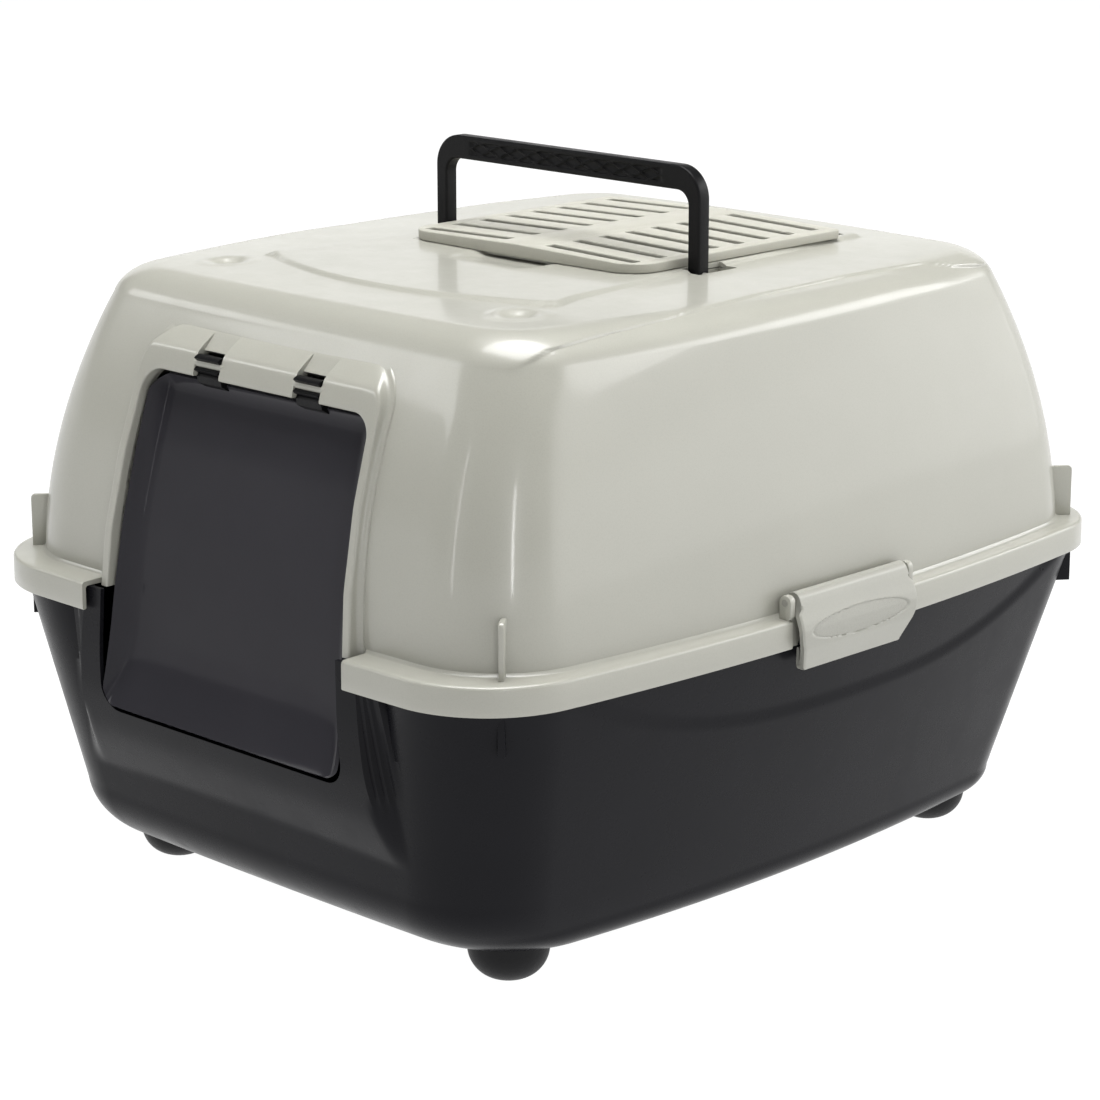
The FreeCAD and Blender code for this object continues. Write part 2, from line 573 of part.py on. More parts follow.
def make_flap():
    front = smooth_face_prism(FLAP_CURVE, -215.0, 130.0)
    back = smooth_face_prism([(y + FLAP_WALL, z) for y, z in FLAP_CURVE], -200.0, 135.0)
    sheet = front.cut(back)
    low, high = FLAP_CURVE[0][1], FLAP_CURVE[-1][1]
    outline = prism_y([(-door_half(low) + FLAP_GAP, low - 1.0), (door_half(low) - FLAP_GAP, low - 1.0),
                       (door_half(high) - FLAP_GAP, high + 1.0), (-door_half(high) + FLAP_GAP, high + 1.0)],
                      -300.0, -200.0)
    edges = [e for e in outline.Edges if e.BoundBox.YLength > 99.0]
    outline = outline.makeFillet(DOOR_CORNER - FLAP_GAP, edges)
    sheet = sheet.common(outline)
    # return along both sides
    rim_front = smooth_face_prism([(y - 6.0, z) for y, z in FLAP_CURVE[1:]], -215.0, 130.0)
    rim = rim_front.cut(back).common(outline).cut(
        prism_y([(-door_half(low) + FLAP_GAP + 2.4, low - 20.0), (door_half(low) - FLAP_GAP - 2.4, low - 20.0),
                 (door_half(high) - FLAP_GAP - 2.4, high + 20.0),
                 (-door_half(high) + FLAP_GAP + 2.4, high + 20.0)], -300.0, -200.0))
    rim = rim.cut(box(-130.0, 130.0, -300.0, -200.0, 288.0, 330.0))
    flap = sheet.fuse(rim)
    for sign, _name in latch_sides():
        x0, x1 = NOTCH_IN + 0.8, NOTCH_OUT - 0.8
        ring = cylinder_x(x0, x1, FLAP_AXIS_Y, FLAP_AXIS_Z, 5.2)
        arm = prism_x([(-235.0, 308.6), (-233.9, 311.8), (-230.8, 319.5), (-227.4, 321.5),
                       (-227.6, 313.0), (-231.0, 308.6)], x0, x1)
        hook = ring.fuse(arm)
        hook = hook.cut(cylinder_x(x0 - 1.0, x1 + 1.0, FLAP_AXIS_Y, FLAP_AXIS_Z,
                                   BAR_RADIUS + RUNNING_CLEARANCE))
        mouth = prism_x([(-231.5, 323.0), (-245.0, 335.0), (-245.0, 314.0)], x0 - 1.0, x1 + 1.0)
        hook = hook.cut(mouth)
        flap = flap.fuse(mirror_x(hook, sign))
    return flap.removeSplitter()


# ---- handle -------------------------------------------------------------------------------------
def make_handle():
    """Square-section bail with round bends and a deeper grip bar."""
    half_out = HANDLE_X + HANDLE_WIDTH / 2.0
    half_in = HANDLE_X - HANDLE_WIDTH / 2.0
    y0, y1 = HANDLE_Y - HANDLE_WIDTH / 2.0, HANDLE_Y + HANDLE_WIDTH / 2.0
    pivot_z = HANDLE_PIVOT_Z
    outer = box(-half_out, half_out, y0, y1, pivot_z, HANDLE_TOP)
    corners = [e for e in outer.Edges if e.BoundBox.YLength > 8.0 and e.BoundBox.ZMin > HANDLE_TOP - 1.0]
    outer = outer.makeFillet(HANDLE_BEND, corners)
    inner = box(-half_in, half_in, y0 - 1.0, y1 + 1.0, pivot_z - 10.0, HANDLE_BAR_LOW)
    corners = [e for e in inner.Edges if e.BoundBox.YLength > 8.0 and e.BoundBox.ZMin > HANDLE_BAR_LOW - 1.0]
    inner = inner.makeFillet(9.0, corners)
    bail = outer.cut(inner)
    for sign in (1.0, -1.0):
        x0, x1 = sorted((sign * half_in, sign * half_out))
        bail = bail.fuse(cylinder_x(x0, x1, HANDLE_Y, pivot_z, HANDLE_WIDTH / 2.0))
    for sign in (1.0, -1.0):
        x0, x1 = sorted((sign * (half_in - 1.0), sign * (half_out + 1.0)))
        bail = bail.cut(cylinder_x(x0, x1, HANDLE_Y, pivot_z, HANDLE_PIN_RADIUS + RUNNING_CLEARANCE))
    return bail.removeSplitter()


def make_handle_pin():
    reach = POCKET_HALF + POCKET_WALL
    return cylinder_x(HANDLE_X - reach, HANDLE_X + reach, HANDLE_Y, HANDLE_PIVOT_Z, HANDLE_PIN_RADIUS)


# ---- latches ------------------------------------------------------------------------------------
def curve_xz(points):
    curve = Part.BSplineCurve()
    curve.interpolate([V(x, 0, z) for x, z in points])
    return curve.toShape()


def make_latch():
    """Plate on a rolled hinge bead that bulges round the rim and hooks up behind the tray's keeper."""
    outside = [(230.6, 206.5), (232.6, 202.0), (234.6, 197.0), (237.4, 190.5), (238.3, 184.0),
               (237.2, 177.0), (233.9, 170.5), (232.4, 166.0), (231.4, 162.4)]
    inside = [(228.9, 164.8), (230.4, 171.0), (233.9, 178.0), (235.2, 184.0), (234.5, 189.0),
              (231.8, 195.5), (230.0, 199.5), (227.6, 201.5)]

    def line(p, q):
        return Part.makeLine(V(p[0], 0, p[1]), V(q[0], 0, q[1]))

    face = Part.Face(Part.Wire([curve_xz(outside), line(outside[-1], inside[0]), curve_xz(inside),
                                line(inside[-1], outside[0])]))
    face.translate(V(0, -LATCH_HALF, 0))
    plate = face.extrude(V(0, 2.0 * LATCH_HALF, 0)).common(rounded_plate_yz(LATCH_HALF, 160.0, 212.0, 9.0))
    bead = cylinder_y(LATCH_AXIS_X, -LATCH_HALF, LATCH_HALF, LATCH_AXIS_Z, 5.0)
    lip = box(227.2, 231.6, -42.0, 42.0, 162.6, 165.2)
    upstand = box(227.2, 229.4, -42.0, 42.0, 162.6, 175.2)
    latch = plate.fuse(bead).fuse(lip).fuse(upstand)
    latch = latch.cut(cylinder_y(LATCH_AXIS_X, -60.0, 60.0, LATCH_AXIS_Z, LATCH_PIN_RADIUS + RUNNING_CLEARANCE))
    return latch.removeSplitter()


def rounded_plate_yz(half, z0, z1, corner):
    block = box(220.0, 245.0, -half, half, z0, z1)
    lows = [e for e in block.Edges if e.BoundBox.XLength > 20.0 and e.BoundBox.ZMax < z0 + 0.01]
    return block.makeFillet(corner, lows)


def make_latch_pin():
    reach = LUG_INNER + LUG_THICK
    return cylinder_y(LATCH_AXIS_X, -reach, reach, LATCH_AXIS_Z, LATCH_PIN_RADIUS)


# ---- write every piece --------------------------------------------------------------------------
def main():
    os.makedirs("parts", exist_ok=True)
    pieces = {"tray": make_tray(), "hood": make_hood(), "entry_flap": make_flap(),
              "carry_handle": make_handle(), "filter_cover": make_filter_cover(),
              "filter_holder": make_filter_holder(), "carbon_filter": make_carbon_filter()}
    tray_outer = tray_solid(0.0, TRAY_BOTTOM, SEAT_Z)
    latch, latch_pin, handle_pin = make_latch(), make_latch_pin(), make_handle_pin()
    for sign, name in latch_sides():
        pieces["foot_front_" + name] = make_foot(sign * FOOT_X, FOOT_FRONT_Y, tray_outer)
        pieces["foot_rear_" + name] = make_foot(sign * FOOT_X, FOOT_REAR_Y, tray_outer)
        pieces["side_latch_" + name] = mirror_x(latch, sign)
        pieces["latch_pin_" + name] = mirror_x(latch_pin, sign)
        pieces["handle_pin_" + name] = mirror_x(handle_pin, sign)
    for name, shape in pieces.items():
        solids = shape.Solids
        print(name, "solids", len(solids), "valid", shape.isValid(), "cm3", round(shape.Volume / 1000.0, 2))
        if len(solids) == 1:
            shape = solids[0]
        shape.exportStep("parts/" + name + ".step")


main()
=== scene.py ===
import math

import bmesh
import bpy
import numpy as np
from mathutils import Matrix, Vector


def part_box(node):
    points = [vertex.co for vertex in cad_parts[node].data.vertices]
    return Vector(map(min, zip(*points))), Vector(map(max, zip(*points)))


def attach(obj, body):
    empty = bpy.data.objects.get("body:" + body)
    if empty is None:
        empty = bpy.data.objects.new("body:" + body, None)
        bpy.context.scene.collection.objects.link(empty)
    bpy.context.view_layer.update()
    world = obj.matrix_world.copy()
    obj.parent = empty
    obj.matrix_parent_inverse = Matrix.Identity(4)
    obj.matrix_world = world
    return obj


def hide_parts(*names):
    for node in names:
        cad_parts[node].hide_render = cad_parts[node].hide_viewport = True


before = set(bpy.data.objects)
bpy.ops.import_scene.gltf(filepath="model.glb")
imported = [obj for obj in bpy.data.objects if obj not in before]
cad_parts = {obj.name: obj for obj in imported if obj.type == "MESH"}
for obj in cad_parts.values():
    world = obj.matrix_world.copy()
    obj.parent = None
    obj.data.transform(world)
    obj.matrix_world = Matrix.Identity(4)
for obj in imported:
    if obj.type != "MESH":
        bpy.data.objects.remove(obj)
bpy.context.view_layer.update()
scene = bpy.context.scene
MM = 0.001
SIDES = ((1.0, "right"), (-1.0, "left"))

# ---- shape of the box, in millimetres: floor at z 0, doorway towards -y --------------------------
# (half width mid, half width end, front mid, front end, back mid, back end, front and back radius)
RIM = np.array((231.6, 211.6, 275.0, 273.0, 275.0, 270.0, 66.0, 54.0))
HOOD_BASE = np.array((221.5, 201.5, 257.0, 254.0, 257.2, 254.0, 61.0, 50.0))
HOOD_TOP = np.array((195.2, 172.0, 214.5, 210.9, 221.8, 214.0, 44.7, 41.6))
HOOD_BULGE = np.array((0.15, 0.15, 0.25, 0.25, 0.26, 0.26, 0.15, 0.15))
SHOULDER_IN = np.array((26.0, 26.0, 24.0, 24.0, 23.0, 23.0, 17.0, 17.0))
ROLL_START = np.radians((12.0, 12.0, 30.0, 30.0, 28.0, 28.0, 18.0, 18.0))
HOOD_BASE_Z, SHOULDER_Z, ROOF_Z = 194.0, 346.0, 362.0
WALL = 2.6
RIM_LOW, RIM_TOP, SEAT_Z = 177.0, 193.3, 190.6
RIM_END_X = 110.0
PLATEAU_Z = 364.5
SILL_Z, SILL_HALF, DOOR_TOP, DOOR_TOP_HALF, DOOR_CORNER = 119.0, 103.0, 316.0, 93.5, 14.0
VISOR_TOP, VISOR_CORNER, VISOR_SIDE = 341.0, 27.0, 6.0
NOTCH_IN, NOTCH_OUT = 30.7, 52.5
HINGE_Y, HINGE_Z = -231.5, 323.0
TRAY_BOTTOM = 18.0
LATCH_X, LATCH_Z = 227.0, 203.0
HANDLE_X, HANDLE_Y, HANDLE_PIVOT_Z = 103.7, 10.0, 360.5
HANDLE_TOP, BAR_LOW = 423.4, 409.2
BAR_RADIUS = 2.5              # the flap's hinge bars
COVER_HALF, COVER_FRONT, COVER_REAR = 95.0, -36.0, 148.0
COVER_TOP_Z, COVER_FALL = 372.5, 2.3
VENT_IN, VENT_OUT, VENT_FIRST_Y, VENT_PITCH, VENT_WIDTH, VENT_ROWS = 15.8, 85.9, -22.4, 22.5, 7.6, 8
FRONT_CUT = (-300.0, -205.0)  # cutting bodies through the front run between these y
CUT_LOW, CUT_HIGH = 340.0, 380.0
MIX_A, MIX_B, MIX_OUT = 6, 7, 2  # the colour sockets of Blender's Mix node


def mix(a, b, t):
    return a + (b - a) * t


def smooth(t):
    t = np.clip(t, 0.0, 1.0)
    return t * t * (3.0 - 2.0 * t)


# ---- mesh helpers --------------------------------------------------------------------------------
def new_object(name, verts, faces):
    mesh = bpy.data.meshes.new(name)
    mesh.from_pydata((np.asarray(verts, float) * MM).tolist(), [], [tuple(f) for f in faces])
    obj = bpy.data.objects.new(name, mesh)
    scene.collection.objects.link(obj)
    outward(obj)
    return obj


def outward(obj):
    bm = bmesh.new()
    bm.from_mesh(obj.data)
    bmesh.ops.recalc_face_normals(bm, faces=bm.faces)
    bm.to_mesh(obj.data)
    bm.free()


def loft(rings, closed_path=True, closed_section=False, poles=(None, None), caps=False):
    """Quads between rows of points; poles close the first and last row, caps close an open path."""
    rings = np.asarray(rings, float)
    rows, n = rings.shape[:2]
    verts = rings.reshape(-1, 3)
    j = np.arange(n if closed_path else n - 1)
    k = (j + 1) % n
    i = np.arange(rows if closed_section else rows - 1)[:, None]
    nxt = (i + 1) % rows
    faces = np.stack([i * n + j, i * n + k, nxt * n + k, nxt * n + j], -1).reshape(-1, 4).tolist()
    for pole, row in zip(poles, (0, rows - 1)):
        if pole is not None:
            verts = np.vstack([verts, pole])
            tip = len(verts) - 1
            faces += [(row * n + a, row * n + b, tip) for a, b in zip(j.tolist(), k.tolist())]
    if caps and not closed_path:
        faces.append([r * n for r in range(rows)])
        faces.append([r * n + n - 1 for r in range(rows)])
    if caps and closed_path:
        faces.append(list(range(n)))
        faces.append([(rows - 1) * n + c for c in range(n)])
    return verts, faces


def extrude(points, axis, a, b):
    """Closed polygon pushed along one axis; its two coordinates are the other axes in order."""
    points = np.asarray(points, float)
    return loft([np.insert(points, axis, level, axis=1) for level in (a, b)], caps=True)


def block(x0, x1, y0, y1, z0, z1):
    return extrude([(x0, y0), (x1, y0), (x1, y1), (x0, y1)], 2, z0, z1)


def joined(parts):
    verts, faces, base = [], [], 0
    for v, f in parts:
        verts.append(np.asarray(v, float))
        faces += [[i + base for i in face] for face in f]
        base += len(v)
    return np.vstack(verts), faces


def flipped(part, sign):
    v, f = part
    v = np.array(v, float)
    v[:, 0] *= sign
    return v, f


def shell(front, back):
    """Two open grids of the same size, joined all round their edges into one closed piece."""
    rows, cols = front.shape[:2]
    verts, faces = joined([loft(front, closed_path=False), loft(back, closed_path=False)])
    ring = list(range(cols)) + [r * cols + cols - 1 for r in range(1, rows)]
    ring += [(rows - 1) * cols + c for c in range(cols - 2, -1, -1)]
    ring += [r * cols for r in range(rows - 2, 0, -1)]
    shift = rows * cols
    for a, b in zip(ring, ring[1:] + ring[:1]):
        faces.append((a, b, b + shift, a + shift))
    return verts, faces


def both_sides(part):
    return joined([flipped(part, sign) for sign, _ in SIDES])


def apply_modifiers(obj):
    graph = bpy.context.evaluated_depsgraph_get()
    result = bpy.data.meshes.new_from_object(obj.evaluated_get(graph))
    obj.modifiers.clear()
    obj.data = result


def boolean(obj, part, operation="DIFFERENCE"):
    tool = new_object("tool", *part)
    mod = obj.modifiers.new("cut", "BOOLEAN")
    mod.object, mod.operation, mod.solver = tool, operation, "EXACT"
    apply_modifiers(obj)
    bpy.data.objects.remove(tool)


def bevel(obj, width, angle=40.0, segments=2):
    """Rounds the sharp edges of a small moulded piece."""
    mod = obj.modifiers.new("round", "BEVEL")
    mod.width, mod.segments, mod.limit_method = width * MM, segments, "ANGLE"
    mod.angle_limit = math.radians(angle)
    mod.use_clamp_overlap = True
    apply_modifiers(obj)


def finish_piece(obj, body, material, sharp=32.0, replaces=()):
    obj.data.materials.clear()
    obj.data.materials.append(material)
    obj.data.polygons.foreach_set("material_index", [0] * len(obj.data.polygons))
    obj.data.shade_smooth()
    obj.data.set_sharp_from_angle(angle=math.radians(sharp))
    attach(obj, body)
    if replaces:
        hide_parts(*replaces)
    return obj


def smooth_line(points, step=0.5, sigma=3.0):
    """Function of z through (z, y) points, with its corners softened over sigma millimetres."""
    z = np.array([p[0] for p in points], float)
    y = np.array([p[1] for p in points], float)
    grid = np.arange(z[0] - 30.0, z[-1] + 30.0, step)
    slope_a = (y[1] - y[0]) / (z[1] - z[0])
    slope_b = (y[-1] - y[-2]) / (z[-1] - z[-2])
    val = np.interp(grid, z, y)
    val = np.where(grid < z[0], y[0] + slope_a * (grid - z[0]), val)
    val = np.where(grid > z[-1], y[-1] + slope_b * (grid - z[-1]), val)
    reach = int(3 * sigma / step)
    kernel = np.exp(-0.5 * (np.arange(-reach, reach + 1) * step / sigma) ** 2)
    kernel /= kernel.sum()
    pad = np.concatenate([2 * val[0] - val[reach:0:-1], val, 2 * val[-1] - val[-2:-reach - 2:-1]])
    soft = np.convolve(pad, kernel, "valid")
    return lambda q: np.interp(q, grid, soft)


# ---- plan outlines -------------------------------------------------------------------------------
def circle_through(p, q, r):
    d = 2.0 * (p[0] * (q[1] - r[1]) + q[0] * (r[1] - p[1]) + r[0] * (p[1] - q[1]))
    pp, qq, rr = (a[0] ** 2 + a[1] ** 2 for a in (p, q, r))
    cx = (pp * (q[1] - r[1]) + qq * (r[1] - p[1]) + rr * (p[1] - q[1])) / d
    cy = (pp * (r[0] - q[0]) + qq * (p[0] - r[0]) + rr * (q[0] - p[0])) / d
    return (cx, cy), math.hypot(p[0] - cx, p[1] - cy)


def corner_arc(side, end, radius, near):
    (ax, ay), ra = side
    (bx, by), rb = end
    ra2, rb2 = ra - radius, rb - radius
    dx, dy = bx - ax, by - ay
    gap = math.hypot(dx, dy)
    along = (ra2 ** 2 - rb2 ** 2 + gap ** 2) / (2.0 * gap)
    across = math.sqrt(max(ra2 ** 2 - along ** 2, 0.0))
    px, py = ax + dx * along / gap, ay + dy * along / gap
    options = [(px - dy * across / gap * s, py + dx * across / gap * s) for s in (1.0, -1.0)]
    cx, cy = min(options, key=lambda c: math.hypot(c[0] - near[0], c[1] - near[1]))
    on_side = (ax + (cx - ax) * ra / ra2, ay + (cy - ay) * ra / ra2)
    on_end = (bx + (cx - bx) * rb / rb2, by + (cy - by) * rb / rb2)
    return (cx, cy), on_side, on_end


def sweep(centre, a, b, n):
    """n points from a towards b about a centre, without b."""
    a0 = math.atan2(a[1] - centre[1], a[0] - centre[0])
    a1 = math.atan2(b[1] - centre[1], b[0] - centre[0])
    turn = (a1 - a0 + math.pi) % (2.0 * math.pi) - math.pi
    ang = a0 + turn * np.arange(n) / n
    r = math.hypot(a[0] - centre[0], a[1] - centre[1])
    return np.stack([centre[0] + r * np.cos(ang), centre[1] + r * np.sin(ang)], -1)


COUNT_FRONT, COUNT_CORNER, COUNT_SIDE, COUNT_BACK = 48, 26, 84, 40


def outline(spec, front_x=None, start=0.0):
    """Points round a bowed outline, from x = start on the front, round the right, back and left."""
    half_mid, half_end, front_mid, front_end, back_mid, back_end, r_front, r_back = spec
    middle = (back_end - front_end) / 2.0
    side = circle_through((half_end, -front_end), (half_mid, middle), (half_end, back_end))
    front = circle_through((-half_end, -front_end), (0.0, -front_mid), (half_end, -front_end))
    back = circle_through((-half_end, back_end), (0.0, back_mid), (half_end, back_end))
    cf, side_f, front_p = corner_arc(side, front, r_front, (half_end - r_front, r_front - front_end))
    cb, side_b, back_p = corner_arc(side, back, r_back, (half_end - r_back, back_end - r_back))
    if front_x is None:
        front_x = start + (front_p[0] - start) * np.arange(COUNT_FRONT) / COUNT_FRONT
        turn_at = front_p
    else:
        x_last = front_x[-1] + 1.5
        turn_at = (x_last, cf[1] - math.sqrt(r_front ** 2 - (x_last - cf[0]) ** 2))
    on_front = front[0][1] - np.sqrt(front[1] ** 2 - front_x ** 2)
    on_corner = cf[1] - np.sqrt(np.maximum(r_front ** 2 - (front_x - cf[0]) ** 2, 0.0))
    y = np.where(front_x <= front_p[0], on_front, on_corner)
    right = np.vstack([
        np.stack([front_x, y], -1),
        sweep(cf, turn_at, side_f, COUNT_CORNER),
        sweep(side[0], side_f, side_b, COUNT_SIDE),
        sweep(cb, side_b, back_p, COUNT_CORNER),
        sweep(back[0], back_p, (0.0, back_mid), COUNT_BACK),
        [(0.0, back_mid)]])
    left = right[::-1] * (-1.0, 1.0)
    if start or right[0, 0] > 1e-6:
        return np.vstack([right, left[1:]])
    return np.vstack([right, left[1:-1]])


def at_height(ring, z):
    return np.column_stack([ring, np.full(len(ring), z) if np.isscalar(z) else z])


def door_half(z):
    return mix(SILL_HALF, DOOR_TOP_HALF, (z - SILL_Z) / (DOOR_TOP - SILL_Z))


DOOR_SLOPE = (SILL_HALF - DOOR_TOP_HALF) / (DOOR_TOP - SILL_Z)


def arch(low, top, grow, corner, n_side=40, n_corner=14, n_top=60):
    """Open path up one side of the doorway, over the top and down the other, grown outwards."""
    zc = top - corner
    xc = door_half(zc) + grow - corner * math.hypot(1.0, DOOR_SLOPE)
    phi = np.linspace(math.atan(DOOR_SLOPE), math.pi / 2.0, n_corner)
    arc = np.stack([xc + corner * np.cos(phi), zc + corner * np.sin(phi)], -1)
    z = np.linspace(low, arc[0, 1], n_side)[:-1]
    up = np.stack([door_half(z) + grow, z], -1)
    half = np.vstack([up, arc, np.stack([np.linspace(xc, 0.0, n_top // 2 + 1)[1:],
                                         np.full(n_top // 2, top)], -1)])
    return np.vstack([half, half[::-1][1:] * (-1.0, 1.0)])


# ---- materials -----------------------------------------------------------------------------------
def node(tree, kind, **inputs):
    made = tree.nodes.new(kind)
    for name, value in inputs.items():
        key = name.replace("_", " ")
        if hasattr(value, "is_output"):
            tree.links.new(value, made.inputs[key])
        else:
            made.inputs[key].default_value = value
    return made


def ramp(tree, source, low, high, out_low, out_high):
    made = node(tree, "ShaderNodeMapRange", Value=source, From_Min=low, From_Max=high,
                To_Min=out_low, To_Max=out_high)
    made.clamp = True
    return made.outputs["Result"]


def plastic(name, colour, rough=(0.22, 0.34), coat=0.0, coat_rough=0.06, peel=0.10, grain=None,
            tint=0.05, specular=0.5):
    """Moulded plastic: cloudy colour, fine pearl speckle, rubbed patches, hairline scuffs, peel."""
    mat = bpy.data.materials.new(name)
    mat.use_nodes = True
    tree = mat.node_tree
    bsdf = tree.nodes["Principled BSDF"]
    where = tree.nodes.new("ShaderNodeTexCoord").outputs["Object"]
    cloud = node(tree, "ShaderNodeTexNoise", Vector=where, Scale=11.0, Detail=3.0, Roughness=0.55)
    speck = node(tree, "ShaderNodeTexNoise", Vector=where, Scale=1400.0, Detail=2.0, Roughness=0.6)
    rub = node(tree, "ShaderNodeTexNoise", Vector=where, Scale=38.0, Detail=5.0, Roughness=0.65)
    peel_noise = node(tree, "ShaderNodeTexNoise", Vector=where, Scale=420.0, Detail=1.5, Roughness=0.5)
    stretch = tree.nodes.new("ShaderNodeMapping")
    tree.links.new(where, stretch.inputs["Vector"])
    stretch.inputs["Scale"].default_value = (60.0, 900.0, 900.0)
    stretch.inputs["Rotation"].default_value = (0.3, 0.5, 0.6)
    hair = node(tree, "ShaderNodeTexNoise", Vector=stretch.outputs["Vector"], Scale=1.0, Detail=2.0,
                Roughness=0.5)
    shade = [max(0.0, c * (1.0 - tint)) for c in colour]
    light = [min(1.0, c * (1.0 + tint)) for c in colour]
    blend = tree.nodes.new("ShaderNodeMix")
    blend.data_type = "RGBA"
    blend.inputs[MIX_A].default_value = (*shade, 1.0)
    blend.inputs[MIX_B].default_value = (*light, 1.0)
    tree.links.new(ramp(tree, cloud.outputs["Fac"], 0.3, 0.7, 0.0, 1.0), blend.inputs[0])
    pearl = tree.nodes.new("ShaderNodeMix")
    pearl.data_type = "RGBA"
    pearl.blend_type = "MULTIPLY"
    pearl.inputs[MIX_B].default_value = (0.93, 0.93, 0.93, 1.0)
    tree.links.new(blend.outputs[MIX_OUT], pearl.inputs[MIX_A])
    tree.links.new(ramp(tree, speck.outputs["Fac"], 0.45, 0.7, 0.0, 0.8), pearl.inputs[0])
    tree.links.new(pearl.outputs[MIX_OUT], bsdf.inputs["Base Color"])
    rough_noise = ramp(tree, rub.outputs["Fac"], 0.35, 0.7, rough[0], rough[1])
    scuff = ramp(tree, hair.outputs["Fac"], 0.66, 0.74, 0.0, 0.10)
    total = node(tree, "ShaderNodeMath")
    total.operation = "ADD"
    tree.links.new(rough_noise, total.inputs[0])
    tree.links.new(scuff, total.inputs[1])
    tree.links.new(total.outputs[0], bsdf.inputs["Roughness"])
    bump = node(tree, "ShaderNodeBump", Height=peel_noise.outputs["Fac"], Strength=peel,
                Distance=0.0004)
    last = bump
    if grain:
        scale, strength = grain
        fine = node(tree, "ShaderNodeTexNoise", Vector=where, Scale=scale, Detail=4.0, Roughness=0.7)
        last = node(tree, "ShaderNodeBump", Height=fine.outputs["Fac"], Strength=strength,
                    Distance=0.0005, Normal=bump.outputs["Normal"])
    tree.links.new(last.outputs["Normal"], bsdf.inputs["Normal"])
    bsdf.inputs["Specular IOR Level"].default_value = specular
    bsdf.inputs["Coat Weight"].default_value = coat
    bsdf.inputs["Coat Roughness"].default_value = coat_rough
    return mat


hood_mat = plastic("hood_plastic", (0.385, 0.382, 0.335), rough=(0.30, 0.40), coat=0.4, coat_rough=0.09,
                   peel=0.05, tint=0.02)
cover_mat = plastic("cover_plastic", (0.42, 0.413, 0.357), rough=(0.42, 0.52), peel=0.12,
                    grain=(1200.0, 0.12), tint=0.02, specular=0.4)
latch_mat = plastic("latch_plastic", (0.36, 0.358, 0.318), rough=(0.34, 0.46), coat=0.15,
                    coat_rough=0.15, peel=0.10, tint=0.03)
inset_mat = plastic("latch_grip_plastic", (0.37, 0.368, 0.33), rough=(0.5, 0.65), peel=0.2,
                    grain=(1500.0, 0.5), tint=0.04)
tray_mat = plastic("tray_plastic", (0.008, 0.008, 0.010), rough=(0.24, 0.34), peel=0.05, tint=0.12,
                   specular=0.10)
flap_mat = plastic("flap_plastic", (0.032, 0.031, 0.036), rough=(0.05, 0.09), peel=0.015, tint=0.06,
                   specular=0.09)
handle_mat = plastic("handle_plastic", (0.005, 0.005, 0.0055), rough=(0.34, 0.46), peel=0.25,
                     grain=(2400.0, 0.15), tint=0.15, specular=0.14)
rubber_mat = plastic("foot_rubber", (0.008, 0.008, 0.009), rough=(0.40, 0.55), peel=0.25,
                     grain=(1800.0, 0.25), tint=0.2, specular=0.18)
pin_mat = plastic("pin_plastic", (0.30, 0.30, 0.27), rough=(0.3, 0.4), peel=0.1, tint=0.05)
holder_mat = plastic("holder_plastic", (0.42, 0.415, 0.37), rough=(0.36, 0.46), peel=0.1, tint=0.03)
felt_mat = plastic("filter_felt", (0.15, 0.145, 0.125), rough=(0.85, 0.98), peel=0.5,
                   grain=(2600.0, 1.0), tint=0.18, specular=0.2)


# ---- hood ----------------------------------------------------------------------------------------
def hood_spec(z, inset):
    t = np.clip((z - HOOD_BASE_Z) / (SHOULDER_Z - HOOD_BASE_Z), 0.0, 1.0)
    lean = t - 4.0 * HOOD_BULGE * t * (1.0 - t)
    spec = mix(HOOD_BASE, HOOD_TOP, lean)
    return spec - np.array((inset,) * 6 + (0.7 * inset,) * 2)


def roll_in(share):
    """How far the shoulder has rolled in at a share of its rise, tangent to the leaning wall."""
    sine = np.sin(ROLL_START) + (1.0 - np.sin(ROLL_START)) * share
    return SHOULDER_IN * (1.0 - np.sqrt(np.maximum(1.0 - sine ** 2, 0.0)) / np.cos(ROLL_START))


def hood_front_y(z):
    return -hood_spec(z, 0.0)[2]


ROOF_CENTRE = np.array((0.0, -5.7))
ROOF_CROWN = 1.4
PLATEAU_STEP = 3.2            # width of the slope up to the raised middle
DIMPLE_X, DIMPLE_Y, DIMPLE_RADIUS, DIMPLE_DEPTH = 119.5, -152.0, 11.5, 2.6
SCOOP_DEPTH = 2.4             # finger scoop in front of the cover


def plateau_depth(x, y):
    """Distance inside the raised middle of the roof, negative outside."""
    ax = np.abs(x)
    half = np.interp(y, (-150.0, -125.0, -100.0, -60.0, 30.0, 150.0, 200.0),
                     (131.0, 120.0, 111.5, 108.0, 101.0, 92.0, 88.0))
    front = -150.0 + 30.0 * (x / 120.0) ** 2
    return np.minimum(np.minimum(half - ax, y - front), 172.0 - y)


def roof_height(x, y, s):
    """Height of the roof at a point; s is 0 at the roof's centre and 1 at its edge."""
    ground = ROOF_Z + ROOF_CROWN * (1.0 - s ** 2)
    depth = plateau_depth(x, y)
    z = mix(ground, PLATEAU_Z, smooth(depth / PLATEAU_STEP + 0.5))
    for sign, _ in SIDES:
        r = np.hypot(x - sign * DIMPLE_X, (y - DIMPLE_Y) * 0.9)
        z -= DIMPLE_DEPTH * smooth((DIMPLE_RADIUS - r) / 7.0)
        z += 0.5 * np.exp(-((r - 14.0) / 3.0) ** 2)
    scoop = smooth((34.0 - np.abs(x)) / 12.0) * smooth((y + 66.0) / 26.0) * smooth((-20.0 - y) / 4.0)
    return z - SCOOP_DEPTH * scoop


